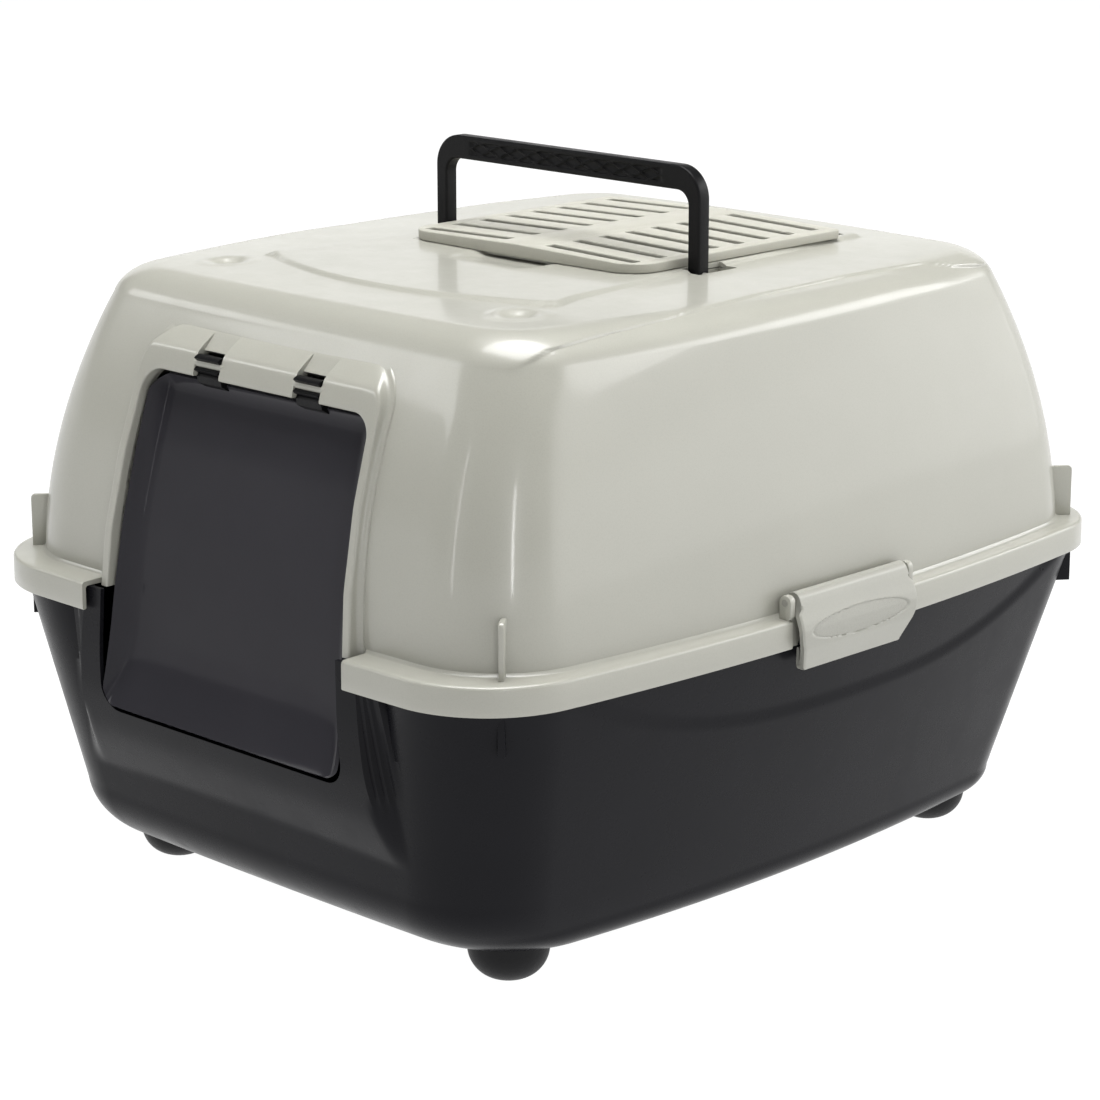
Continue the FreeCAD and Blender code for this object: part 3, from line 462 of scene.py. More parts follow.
# the moulded line along each side: its angle round the shoulder at each y, and its depth
CREASE_Y = (-201.0, -196.0, -180.0, -151.0, -84.0, -18.0, 68.0, 135.0, 159.0, 188.0)
CREASE_ANGLE = (0.0, 8.0, 33.0, 45.0, 65.0, 88.0, 88.0, 65.0, 41.0, 25.0)
CREASE_DEPTH = 1.3
ROLL_ANGLE = np.linspace(0.0, math.pi / 2.0, 91)
ROLL_LENGTH = np.concatenate([[0.0], np.cumsum(np.hypot(
    SHOULDER_IN[0] * np.diff(np.cos(ROLL_ANGLE)), (ROOF_Z - SHOULDER_Z) * np.diff(np.sin(ROLL_ANGLE))))])


def creased(ring, angle, below=0.0):
    """Steps one row of the side in under the moulded line that arches along the shoulder."""
    x, y = ring[:, 0], ring[:, 1]
    line = np.interp(np.radians(np.interp(y, CREASE_Y, CREASE_ANGLE)), ROLL_ANGLE, ROLL_LENGTH)
    away = np.interp(angle, ROLL_ANGLE, ROLL_LENGTH) - below - line
    fade = smooth((y + 208.0) / 22.0) * smooth((205.0 - y) / 25.0) * smooth((np.abs(x) - 120.0) / 20.0)
    depth = fade * CREASE_DEPTH * smooth((0.6 - away) / 1.2) * smooth((away + 26.0) / 24.0)
    ring[:, 0] = x - np.sign(x) * depth * math.cos(angle)
    ring[:, 2] -= depth * math.sin(angle)
    return ring


def hood_rings(inset, fine):
    rings = []
    lower = SEAT_Z + 0.3
    wall_z = np.linspace(lower, SHOULDER_Z, 52 if fine else 26)
    for z in wall_z:
        ring = at_height(outline(hood_spec(z, inset)), z - inset * (z - lower) / (SHOULDER_Z - lower))
        rings.append(creased(ring, 0.0, SHOULDER_Z - z) if fine else ring)
    theta = np.linspace(0.0, math.pi / 2.0, 65 if fine else 10)[1:]
    for a in theta:
        spec = hood_spec(SHOULDER_Z, inset) - roll_in(math.sin(a))
        ring = at_height(outline(spec), SHOULDER_Z + (ROOF_Z - SHOULDER_Z) * math.sin(a) - inset)
        rings.append(creased(ring, a) if fine else ring)
    edge = outline(hood_spec(SHOULDER_Z, inset * 0.4) - SHOULDER_IN)
    for s in np.linspace(1.0, 0.012, 96 if fine else 40)[1:]:
        ring = ROOF_CENTRE + (edge - ROOF_CENTRE) * s
        rings.append(at_height(ring, roof_height(ring[:, 0], ring[:, 1], s) - inset))
    pole = np.array((*ROOF_CENTRE, PLATEAU_Z - inset))
    return rings, pole


# one pocket for the handle and the boss that lines it, as x0, x1, y0, y1, z0, z1
POCKET = (96.7, 110.7, 3.0, 36.0, 355.0, CUT_HIGH)
POCKET_LINING = (94.3, 113.1, 0.6, 38.4, 352.6, 361.3)
# the well for the filter, with a ledge round it under the cover
WELL_HALF, WELL_FRONT, WELL_REAR, LEDGE_Z, LEDGE = 86.0, -28.0, 142.0, 362.9, 4.0


def make_hood():
    outer, outer_pole = hood_rings(0.0, True)
    inner, inner_pole = hood_rings(WALL, False)
    hood = new_object("hood_shell", *loft(outer[::-1] + inner, poles=(outer_pole, inner_pole)))
    boolean(hood, both_sides(block(*POCKET_LINING)), "UNION")
    door = arch(SEAT_Z - 20.0, DOOR_TOP, 0.0, DOOR_CORNER)
    well = []
    for z, grow in ((CUT_LOW, 0.0), (LEDGE_Z, 0.0), (LEDGE_Z, LEDGE), (CUT_HIGH, LEDGE)):
        x, front, rear = WELL_HALF + grow, WELL_FRONT - grow, WELL_REAR + grow
        well.append([(-x, front, z), (x, front, z), (x, rear, z), (-x, rear, z)])
    # one more row of vents behind the cover
    y = VENT_FIRST_Y + VENT_PITCH * VENT_ROWS + 1.0
    vents = block(VENT_IN, VENT_OUT, y - VENT_WIDTH / 2.0, y + VENT_WIDTH / 2.0, CUT_LOW, CUT_HIGH)
    tools = [extrude(door, 1, *FRONT_CUT), both_sides(block(*POCKET)), loft(well, caps=True),
             both_sides(vents), notch_tool()]
    for tool in tools:
        boolean(hood, tool)
    finish_piece(hood, "hood", hood_mat, sharp=38.0, replaces=("hood",))


def notch_tool():
    well = [(-245.0, 310.0), (-245.0, 350.0), (-213.5, 350.0), (-216.9, 341.5), (-220.5, 336.5),
            (-227.0, 329.6), (-222.6, 327.0), (-206.0, 327.0), (-206.0, 310.0)]
    return both_sides(extrude(well, 0, NOTCH_IN, NOTCH_OUT))


VISOR_FACE = smooth_line([(189.6, -264.9), (225.0, -261.5), (270.0, -251.5), (316.0, -236.5),
                          (329.5, -231.6), (334.0, -225.5), (345.0, -209.5)], sigma=1.3)


def make_visor():
    """Raised frame round the doorway that grows into a hinge visor over it."""
    low = SEAT_Z + 0.3
    inner = arch(low, DOOR_TOP, 0.0, DOOR_CORNER)
    outer = arch(low, VISOR_TOP, VISOR_SIDE, VISOR_CORNER)

    def line(w, back):
        p = mix(inner, outer, w)
        return np.column_stack([p[:, 0], VISOR_FACE(p[:, 1]) + back, p[:, 1]])

    def shifted(grow, lift):
        p = arch(low, VISOR_TOP + grow, VISOR_SIDE + grow, VISOR_CORNER + grow)
        on_wall = np.array([hood_front_y(z) for z in p[:, 1]]) + lift
        behind_face = VISOR_FACE(outer[:, 1]) + 4.6 + lift
        return np.column_stack([p[:, 0], np.maximum(on_wall, behind_face), p[:, 1]])

    wall_y = np.array([hood_front_y(z) for z in inner[:, 1]])
    rows = [np.column_stack([inner[:, 0], wall_y + 3.2, inner[:, 1]])]
    rows += [line(0.0, b) for b in (6.0, 2.4, 1.2)]
    rows += [line(w, b) for w, b in ((0.02, 0.55), (0.06, 0.2), (0.12, 0.0))]
    rows += [line(w, 0.0) for w in np.linspace(0.2, 0.8, 13)]
    rows += [line(w, b) for w, b in ((0.88, 0.1), (0.94, 0.5), (0.98, 1.1), (1.0, 2.0))]
    rows += [shifted(0.0, -2.6), shifted(0.5, -1.2), shifted(1.6, -0.35), shifted(3.2, 0.05),
             shifted(3.6, 1.2)]
    visor = new_object("hood_visor", *loft(rows, closed_path=False, closed_section=True, caps=True))
    boolean(visor, notch_tool())
    finish_piece(visor, "hood", hood_mat, sharp=40.0)
    angle = np.linspace(0.0, 2.0 * math.pi, 33)[:-1]
    circle = np.stack([HINGE_Y + BAR_RADIUS * np.cos(angle), HINGE_Z + BAR_RADIUS * np.sin(angle)], -1)
    bars = both_sides(extrude(circle, 0, NOTCH_IN - 1.5, NOTCH_OUT + 1.5))
    finish_piece(new_object("hood_hinge_bars", *bars), "hood", hood_mat)


LATCH_BAY_FACE, LATCH_BAY_HALF = 228.6, 51.0


def make_rim():
    def rim(inset, z):
        spec = RIM - np.array((inset,) * 8)
        return at_height(outline(spec, start=RIM_END_X), z)

    def wall(inset, z):
        return at_height(outline(hood_spec(HOOD_BASE_Z, inset), start=RIM_END_X), z)

    rows = [rim(0.5, RIM_LOW), rim(0.0, RIM_LOW + 0.6), rim(0.0, 184.0), rim(0.1, RIM_TOP - 1.9),
            rim(0.35, RIM_TOP - 1.1), rim(0.9, RIM_TOP - 0.4), rim(1.8, RIM_TOP), rim(4.0, RIM_TOP + 0.1),
            rim(6.5, RIM_TOP + 0.2), wall(-1.9, RIM_TOP + 0.3), wall(-0.9, RIM_TOP + 0.8),
            wall(-0.2, RIM_TOP + 2.0), wall(0.8, RIM_TOP + 3.0), wall(1.4, SEAT_Z),
            rim(WALL + 0.9, SEAT_Z), rim(WALL, SEAT_Z - 1.0),
            rim(WALL - 0.1, RIM_LOW + 0.6), rim(WALL - 0.6, RIM_LOW)]
    rim_piece = new_object("hood_rim", *loft(rows, closed_path=False, closed_section=True, caps=True))
    bay = block(LATCH_BAY_FACE, 240.0, -LATCH_BAY_HALF, LATCH_BAY_HALF, 170.0, 200.0)
    boolean(rim_piece, both_sides(bay))
    finish_piece(rim_piece, "hood", hood_mat, sharp=48.0)


def rib(x, y, angle, length, thick, z0, z1, corner):
    """Upright plate that runs radially out of a corner, its top outer corner rounded."""
    a = np.linspace(0.0, math.pi / 2.0, 7)
    profile = [(0.0, z0), (length, z0)]
    profile += [(length - corner + corner * math.cos(t), z1 - corner + corner * math.sin(t)) for t in a]
    profile.append((0.0, z1))
    v, f = extrude(profile, 1, -thick / 2.0, thick / 2.0)
    t = math.radians(angle)
    v = np.array(v)
    turned = np.column_stack([x + v[:, 0] * math.cos(t) - v[:, 1] * math.sin(t),
                              y + v[:, 0] * math.sin(t) + v[:, 1] * math.cos(t), v[:, 2]])
    return turned, f


# x, y and direction of the corner ribs; length, thickness, low and high z on the hood and on the tray
RIBS = ((186.0, -228.0, -52.0), (188.0, 233.0, 52.0))
HOOD_RIB = (19.0, 3.0, RIM_TOP - 1.0, 224.5)
TRAY_RIB = (20.0, 4.0, 152.0, 183.0)
LUG_RADIUS, LUG_INNER, LUG_OUTER = 4.2, 49.4, 53.6


def make_small_hood_parts():
    ribs = [both_sides(rib(x, y, a, *HOOD_RIB, 2.5)) for x, y, a in RIBS]
    fins = new_object("hood_corner_ribs", *joined(ribs))
    bevel(fins, 0.5)
    finish_piece(fins, "hood", hood_mat)
    a = np.linspace(0.0, math.pi, 17)
    ear = [(LATCH_X + LUG_RADIUS * math.cos(t), LATCH_Z + LUG_RADIUS * math.sin(t)) for t in a]
    ear += [(LATCH_X - LUG_RADIUS, RIM_TOP - 1.2), (LATCH_X + 1.4, RIM_TOP - 1.2),
            (LATCH_X + LUG_RADIUS, RIM_TOP + 2.0)]
    lugs = [extrude(ear, 1, *sorted((end * LUG_INNER, end * LUG_OUTER))) for end in (-1.0, 1.0)]
    lug = new_object("hood_latch_lugs", *both_sides(joined(lugs)))
    bevel(lug, 0.5)
    finish_piece(lug, "hood", hood_mat)


# ---- tray ----------------------------------------------------------------------------------------
SURROUND_FACE = smooth_line([(40.0, -222.0), (62.0, -243.0), (82.0, -254.0), (104.0, -264.0), (130.0, -269.5),
                             (155.0, -270.5), (191.0, -269.5)], sigma=6.0)


SURROUND_HALF_LOW, SURROUND_HALF_TOP = 126.0, 113.5
SURROUND_START_Z = 62.0
# height of the rounding under the tray and how far it comes in, at the sides and at the front
SIDE_ROUND_Z, SIDE_ROUND_IN = 17.0, 20.0
FRONT_ROUND_Z, FRONT_ROUND_IN = 38.6, 56.8
SIDE_FROM, FRONT_FROM = TRAY_BOTTOM + SIDE_ROUND_Z, TRAY_BOTTOM + FRONT_ROUND_Z
# arched recess in each side: its middle, lowest point, rise towards its ends, and depth
RECESS_Y, RECESS_LOW_Z, RECESS_RISE, RECESS_DEPTH = 20.0, 134.0, 44.0, 2.0
KEEPER = (216.0, 230.0, -40.0, 40.0, 176.2, 179.4)


def surround_half(z):
    return mix(SURROUND_HALF_LOW, SURROUND_HALF_TOP, np.clip((z - 84.0) / 116.0, 0.0, 1.0))


def round_under(z, height, depth):
    u = min(max((z - TRAY_BOTTOM) / height, 0.0), 1.0)
    return depth * (1.0 - math.sqrt(1.0 - (1.0 - u) ** 2))


def tray_spec(z, inset):
    side = round_under(z, SIDE_ROUND_Z, SIDE_ROUND_IN) + inset
    front = round_under(z, FRONT_ROUND_Z, FRONT_ROUND_IN) + inset
    ts = min(max(0.0, (z - SIDE_FROM) / (RIM_LOW - SIDE_FROM)), 1.0)
    tf = min(max(0.0, (z - FRONT_FROM) / (RIM_LOW - FRONT_FROM)), 1.0)
    front_y = mix(248.8, 268.0, tf) - front
    back_y = mix(233.6, 268.0, ts) - side
    soften = (side - inset) * 0.5 + inset
    return (mix(191.6, 226.0, ts) - side, mix(174.8, 206.5, ts) - side, front_y, front_y - 3.0,
            back_y, back_y - 3.0, mix(60.0, 62.0, ts) - soften, mix(51.6, 52.0, ts) - soften)


STEP_X = np.array((-2.4, -1.2, -0.4, 0.2, 0.9, 1.6, 2.6, 3.6, 4.1, 4.6,
                   5.2, 6.2, 7.2, 7.8, 8.3, 8.9, 10.0, 11.4, 13.0))


def step_share(dx, z):
    """How much of the surround's bulge is left at a distance outside its edge: three ridges."""
    stepped = np.interp(dx, (-0.4, 0.9, 3.6, 4.6, 7.2, 8.3, 8.9), (1.0, 0.66, 0.62, 0.33, 0.28, 0.04, 0.0))
    soft = 1.0 - smooth((dx + 4.0) / 15.0)
    k = smooth((z - 104.0) / 16.0)
    return mix(soft, stepped, k)


def tray_ring(z, inset, out_z):
    edge = surround_half(z)
    front_x = np.concatenate([np.linspace(0.0, edge - 4.0, 34), edge + STEP_X])
    ring = outline(tray_spec(z, inset), front_x=front_x)
    x, y = ring[:, 0], ring[:, 1]
    share = step_share(np.abs(x) - edge, z) * (y < -150.0)
    face = SURROUND_FACE(z) + inset
    gap = y - face
    soft_gap = 0.5 * (gap + np.sqrt(gap ** 2 + 6.0)) - 0.5 * math.sqrt(6.0) * np.exp(-np.abs(gap) / 4.0)
    lift = smooth((z - SURROUND_START_Z) / 16.0)
    y = y - np.maximum(soft_gap, 0.0) * share * lift
    along = ring[:, 1] - RECESS_Y
    reach = np.where(along < 0.0, 222.0, 200.0)
    arc_z = RECESS_LOW_Z + RECESS_RISE * np.abs(along / reach) ** 2.78
    recess = RECESS_DEPTH * smooth((z - arc_z) / 9.0 + 0.5) * (np.abs(along) < reach)
    recess = recess * smooth((np.abs(x) - 150.0) / 20.0)
    x = x - np.sign(x) * recess
    return np.column_stack([x, y, np.full(len(ring), out_z)])


def tray_rows(inset, fine):
    rows = []
    floor = TRAY_BOTTOM + inset
    top = SEAT_Z - 0.3
    base = tray_ring(TRAY_BOTTOM, inset, floor)
    centre = np.array((0.0, 0.0, floor))
    for s in (0.03, 0.15, 0.35, 0.55, 0.75, 0.9):
        rows.append(centre + (base - centre) * s)
    phi = np.linspace(0.0, math.pi / 2.0, 17 if fine else 9)
    levels = list(TRAY_BOTTOM + SIDE_ROUND_Z * (1.0 - np.cos(phi)))
    levels += list(np.linspace(SIDE_FROM, SURROUND_START_Z, 13 if fine else 6)[1:])
    levels += list(np.linspace(SURROUND_START_Z, 130.0, 30 if fine else 10)[1:])
    levels += list(np.linspace(130.0, top, 48 if fine else 12)[1:])
    for z in levels:
        out_z = z + inset * (top - z) / (top - TRAY_BOTTOM)
        rows.append(tray_ring(z, inset, out_z))
    return rows, centre


def make_tray():
    outer, low_pole = tray_rows(0.0, True)
    inner, floor_pole = tray_rows(WALL, False)
    tray = new_object("tray_shell", *loft(outer + inner[::-1], poles=(low_pole, floor_pole)))
    a = np.linspace(math.radians(-90.0), math.atan(DOOR_SLOPE), 10)
    r = DOOR_CORNER
    zc = SILL_Z + r
    xc = door_half(zc) - r * math.hypot(1.0, DOOR_SLOPE)
    right = [(xc + r * math.cos(t), zc + r * math.sin(t)) for t in a] + [(door_half(200.0), 200.0)]
    hole = right + [(-x, z) for x, z in right[::-1]]
    boolean(tray, extrude(hole, 1, *FRONT_CUT))
    finish_piece(tray, "tray", tray_mat, sharp=40.0, replaces=("tray",))

    def lip(inset, z):
        return at_height(outline(RIM - np.array((inset,) * 8), start=SURROUND_HALF_TOP), z)

    def wall(inset, z):
        return at_height(outline(np.array(tray_spec(RIM_LOW, inset)), start=SURROUND_HALF_TOP), z)

    rows = [lip(3.7, 184.8), lip(3.4, 185.2), lip(3.4, 189.6), lip(3.9, 190.2), wall(1.0, 190.2),
            wall(1.2, 184.8)]
    lip_piece = new_object("tray_lip", *loft(rows, closed_path=False, closed_section=True, caps=True))
    finish_piece(lip_piece, "tray", tray_mat, sharp=50.0)
    lugs = [both_sides(rib(x, y, angle, *TRAY_RIB, 1.0)) for x, y, angle in RIBS]
    lugs.append(both_sides(block(*KEEPER)))
    small = new_object("tray_lugs", *joined(lugs))
    bevel(small, 0.5)
    finish_piece(small, "tray", tray_mat)


# ---- entry flap ----------------------------------------------------------------------------------
FLAP_FACE = smooth_line([(123.5, -266.5), (130.0, -266.0), (145.0, -264.5), (165.0, -262.0), (195.0, -259.8),
                         (230.0, -255.0), (272.0, -245.0), (312.4, -233.6)], sigma=5.0)


FLAP_LOW, FLAP_HIGH, FLAP_CORNER, FLAP_THICK = 123.5, 312.4, 11.0, 2.0
FLAP_GAP = 3.0                # between the flap and the side of the doorway
FLAP_KICK = 13.5              # how far the foot stands forward of the panel
FLAP_BACK = 8.5               # how far the panel lies behind the foot's face line
HOOK_RADIUS, HOOK_BORE = 5.2, 2.56


def make_flap():
    """Smoked panel: flat middle, sides rolled forward, and a foot that kicks out like a scoop."""
    low, high, corner = FLAP_LOW, FLAP_HIGH, FLAP_CORNER
    arc = corner * (1.0 - np.cos(np.linspace(0.0, math.pi / 2.0, 12)))
    straight = np.linspace(low + corner, high - corner, 112)[1:-1]
    z = np.concatenate([low + arc, straight, (high - arc)[::-1]])
    edge_u = 1.0 - 0.5 * (1.0 - np.linspace(0.0, 1.0, 34)) ** 2.2
    inner_u = np.linspace(-edge_u[0], edge_u[0], 40)[1:-1]
    u = np.concatenate([-edge_u[::-1], inner_u, edge_u])
    half = door_half(z) - FLAP_GAP
    end_gap = np.minimum(z - low, high - z)
    chord = np.sqrt(np.maximum(corner ** 2 - (corner - end_gap) ** 2, 0.0))
    width = half - np.where(end_gap < corner, corner - chord, 0.0)
    x = u[None, :] * width[:, None]
    zz = np.repeat(z[:, None], len(u), 1)
    side_gap = half[:, None] - np.abs(x)
    roll = 9.0 * np.clip(1.0 - side_gap / 13.0, 0.0, 1.0) ** 2
    roll += 3.5 * np.clip(1.0 - side_gap / 46.0, 0.0, 1.0) ** 2 * smooth((230.0 - zz) / 110.0)
    kick = FLAP_KICK * np.clip(1.0 - (zz - low) / 44.0, 0.0, 1.0) ** 2.1
    crown = 4.0 * np.clip(1.0 - (high - zz) / 9.0, 0.0, 1.0) ** 2
    forward = np.minimum((roll ** 3 + kick ** 3 + crown ** 3) ** (1.0 / 3.0), FLAP_KICK)
    front = np.stack([x, FLAP_FACE(zz) + FLAP_BACK - forward, zz], -1)
    dz, dx = np.gradient(front, axis=0), np.gradient(front, axis=1)
    normal = np.cross(dx, dz)
    normal /= np.linalg.norm(normal, axis=-1, keepdims=True)
    normal *= np.sign(normal[..., 1:2]) * -1.0
    flap = new_object("flap_panel", *shell(front, front - normal * FLAP_THICK))
    finish_piece(flap, "entry_flap", flap_mat, sharp=45.0, replaces=("entry_flap",))
    a = np.radians(np.linspace(-146.0, 138.0, 40))
    ring = [(HINGE_Y + HOOK_RADIUS * math.cos(t), HINGE_Z + HOOK_RADIUS * math.sin(t)) for t in a]
    ring += [(HINGE_Y + HOOK_BORE * math.cos(t), HINGE_Z + HOOK_BORE * math.sin(t)) for t in a[::-1]]
    arm = [(-227.5, 309.0), (-233.0, 312.2), (-233.6, 316.0), (-231.8, 319.0), (-228.0, 321.5),
           (-226.8, 319.0), (-226.0, 311.0)]
    x0, x1 = NOTCH_IN + 0.8, NOTCH_OUT - 0.8
    hooks = both_sides(joined([extrude(ring, 0, x0, x1), extrude(arm, 0, x0, x1)]))
    finish_piece(new_object("flap_hooks", *hooks), "entry_flap", handle_mat)


# ---- roof parts ----------------------------------------------------------------------------------
def slot_plan(x0, x1, y0, y1, r):
    """Outline of a slot with its corners rounded."""
    plan = []
    for cx, cy, start in ((x1 - r, y0 + r, -90), (x1 - r, y1 - r, 0),
                          (x0 + r, y1 - r, 90), (x0 + r, y0 + r, 180)):
        turns = [math.radians(start + d) for d in (0, 30, 60, 90)]
        plan += [(cx + r * math.cos(t), cy + r * math.sin(t)) for t in turns]
    return plan


def make_cover():
    """Low gabled lid with two columns of slots, round front corners and a bevelled edge."""
    def half_plan(inset):
        r = 20.0 - inset
        half, front, rear = COVER_HALF - inset, COVER_FRONT + inset, COVER_REAR - inset
        a = np.linspace(-math.pi / 2.0, 0.0, 13)
        pts = [(0.0, front)]
        pts += [(half - r + r * math.cos(t), front + 2.2 + r + r * math.sin(t)) for t in a]
        rr = 3.0
        b = np.linspace(0.0, math.pi / 2.0, 5)
        pts += [(half - rr + rr * math.cos(t), rear - rr + rr * math.sin(t)) for t in b]
        pts.append((0.0, rear))
        return pts

    def gabled(inset, low, drop):
        right = half_plan(inset)
        plan = right + [(-x, y) for x, y in right[::-1] if x > 1e-6]
        top = [(x, y, COVER_TOP_Z - drop - COVER_FALL * abs(x) / COVER_HALF) for x, y in plan]
        foot = [(x, y, low) for x, y in plan]
        n, m = len(plan), len(right)
        faces = [(i, (i + 1) % n, n + (i + 1) % n, n + i) for i in range(n)]
        faces.append(list(range(n)))
        faces.append([n + i for i in range(m)])
        faces.append([n + i for i in range(m - 1, n)] + [n])
        return np.array(foot + top), faces

    cover = new_object("filter_cover_lid", *gabled(0.0, PLATEAU_Z + 0.3, 0.0))
    boolean(cover, gabled(2.4, PLATEAU_Z - 1.0, 3.2))
    slots = []
    for row in range(VENT_ROWS):
        y = VENT_FIRST_Y + row * VENT_PITCH
        plan = slot_plan(VENT_IN, VENT_OUT, y - VENT_WIDTH / 2.0, y + VENT_WIDTH / 2.0, 1.6)
        slots.append(both_sides(extrude(plan, 2, 350.0, 385.0)))
    boolean(cover, joined(slots))
    bevel(cover, 0.7, angle=32.0, segments=3)
    finish_piece(cover, "filter_cover", cover_mat, sharp=30.0, replaces=("filter_cover",))


def make_filter_pad():
    rng = np.random.default_rng(7)
    low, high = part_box("carbon_filter")
    (x0, y0, z0), (x1, y1, z1) = (np.array(low) / MM, np.array(high) / MM)
    n = 64
    u = np.sin(np.linspace(-math.pi / 2.0, math.pi / 2.0, n))
    x = mix(x0, x1, (u + 1.0) / 2.0)
    y = mix(y0, y1, (u + 1.0) / 2.0)
    gx, gy = np.meshgrid(x, y)
    rim_gap = np.minimum(np.minimum(gx - x0, x1 - gx), np.minimum(gy - y0, y1 - gy))
    drop = 2.2 * np.clip(1.0 - rim_gap / 4.0, 0.0, 1.0) ** 2
    lumps = rng.normal(0.0, 0.12, gx.shape)
    top = z1 - 0.5 - drop + lumps
    bottom = z0 + 0.1 + drop
    pad = new_object("filter_pad", *shell(np.stack([gx, gy, top], -1), np.stack([gx, gy, bottom], -1)))
    finish_piece(pad, "hood", felt_mat, replaces=("carbon_filter",))


HANDLE_HALF = 4.5             # half the thickness of the bail
HANDLE_EDGE = 1.3             # radius of its edges
# centre and radius of the bend, on the outside and on the inside
BEND_OUT_X, BEND_OUT_Z, BEND_OUT = 89.2, 404.4, 19.0
BEND_IN_X, BEND_IN_Z, BEND_IN = 90.2, 400.2, 9.0
GRIP_HALF, GRIP_PITCH, GRIP_DEPTH, GRIP_RIDGE = 80.0, 62.0, 1.0, 0.75


def make_handle():
    """Square bail with round bends; the bar is deeper and carries a crossed grip relief."""
    half, r = HANDLE_HALF, HANDLE_EDGE
    stations = []
    for z in np.linspace(HANDLE_PIVOT_Z, BEND_IN_Z, 14):
        outside_z = z + (BEND_OUT_Z - BEND_IN_Z) * smooth((z - 380.0) / 20.2)
        stations.append(((HANDLE_X + half, outside_z), (HANDLE_X - half, z)))
    for t in np.linspace(0.0, math.pi / 2.0, 16)[1:]:
        stations.append(((BEND_OUT_X + BEND_OUT * math.cos(t), BEND_OUT_Z + BEND_OUT * math.sin(t)),
                         (BEND_IN_X + BEND_IN * math.cos(t), BEND_IN_Z + BEND_IN * math.sin(t))))
    for x in np.linspace(BEND_OUT_X, 0.0, 90)[1:]:
        stations.append(((x, HANDLE_TOP), (x, BAR_LOW)))
    stations = np.array(stations)
    stations = np.vstack([stations, stations[::-1][1:] * (-1.0, 1.0)])
    depth = stations[:, 0] - stations[:, 1]
    length = np.linalg.norm(depth, axis=1, keepdims=True)
    unit = depth / length
    rows = []

    def add(v_mm, y):
        p = stations[:, 1] + unit * v_mm
        rows.append(np.column_stack([p[:, 0], np.broadcast_to(HANDLE_Y + y, len(p)), p[:, 1]]))

    def near(t):
        return r - r * math.cos(t)

    def far(t):
        return length - (r - r * math.cos(t))

    def relief(v, x):
        """Depth of the grip at a share v of the bar's height: crossing ridges are left standing."""
        inside = smooth((GRIP_HALF - np.abs(x)) / 4.0) * smooth((v - 0.10) / 0.08) * smooth((0.90 - v) / 0.08)
        ridge = np.zeros(len(x))
        for phase in (0.0, math.pi / 2.0):
            for sign in (1.0, -1.0):
                at = 0.5 + sign * 0.40 * np.sin(2.0 * math.pi * x / GRIP_PITCH + phase)
                ridge = np.maximum(ridge, np.exp(-((v - at) * (HANDLE_TOP - BAR_LOW) / GRIP_RIDGE) ** 2))
        return GRIP_DEPTH * inside * (1.0 - ridge)

    shares = np.linspace(0.0, 1.0, 27)
    bends = np.linspace(0.0, math.pi / 2.0, 5)
    for face, first, last, steps in ((-1.0, near, far, shares), (1.0, far, near, shares[::-1])):
        for t in bends[:-1]:
            add(first(t), face * (half - r + r * math.sin(t)))
        for v in steps:
            add(r + (length - 2.0 * r) * v, face * (half - relief(v, stations[:, 1, 0])))
        for t in bends[::-1][1:]:
            add(last(t), face * (half - r + r * math.sin(t)))
    handle = new_object("handle_bail", *loft(rows, closed_path=False, closed_section=True, caps=True))
    finish_piece(handle, "carry_handle", handle_mat, sharp=50.0, replaces=("carry_handle",))


# ---- latches -------------------------------------------------------------------------------------
# the sunk oval of a latch: half width, middle, half height, depth, and depth of the groove round it
OVAL_HALF_Y, OVAL_Z, OVAL_HALF_Z, OVAL_DEPTH, OVAL_GROOVE = 42.0, 186.0, 7.6, 0.55, 0.7


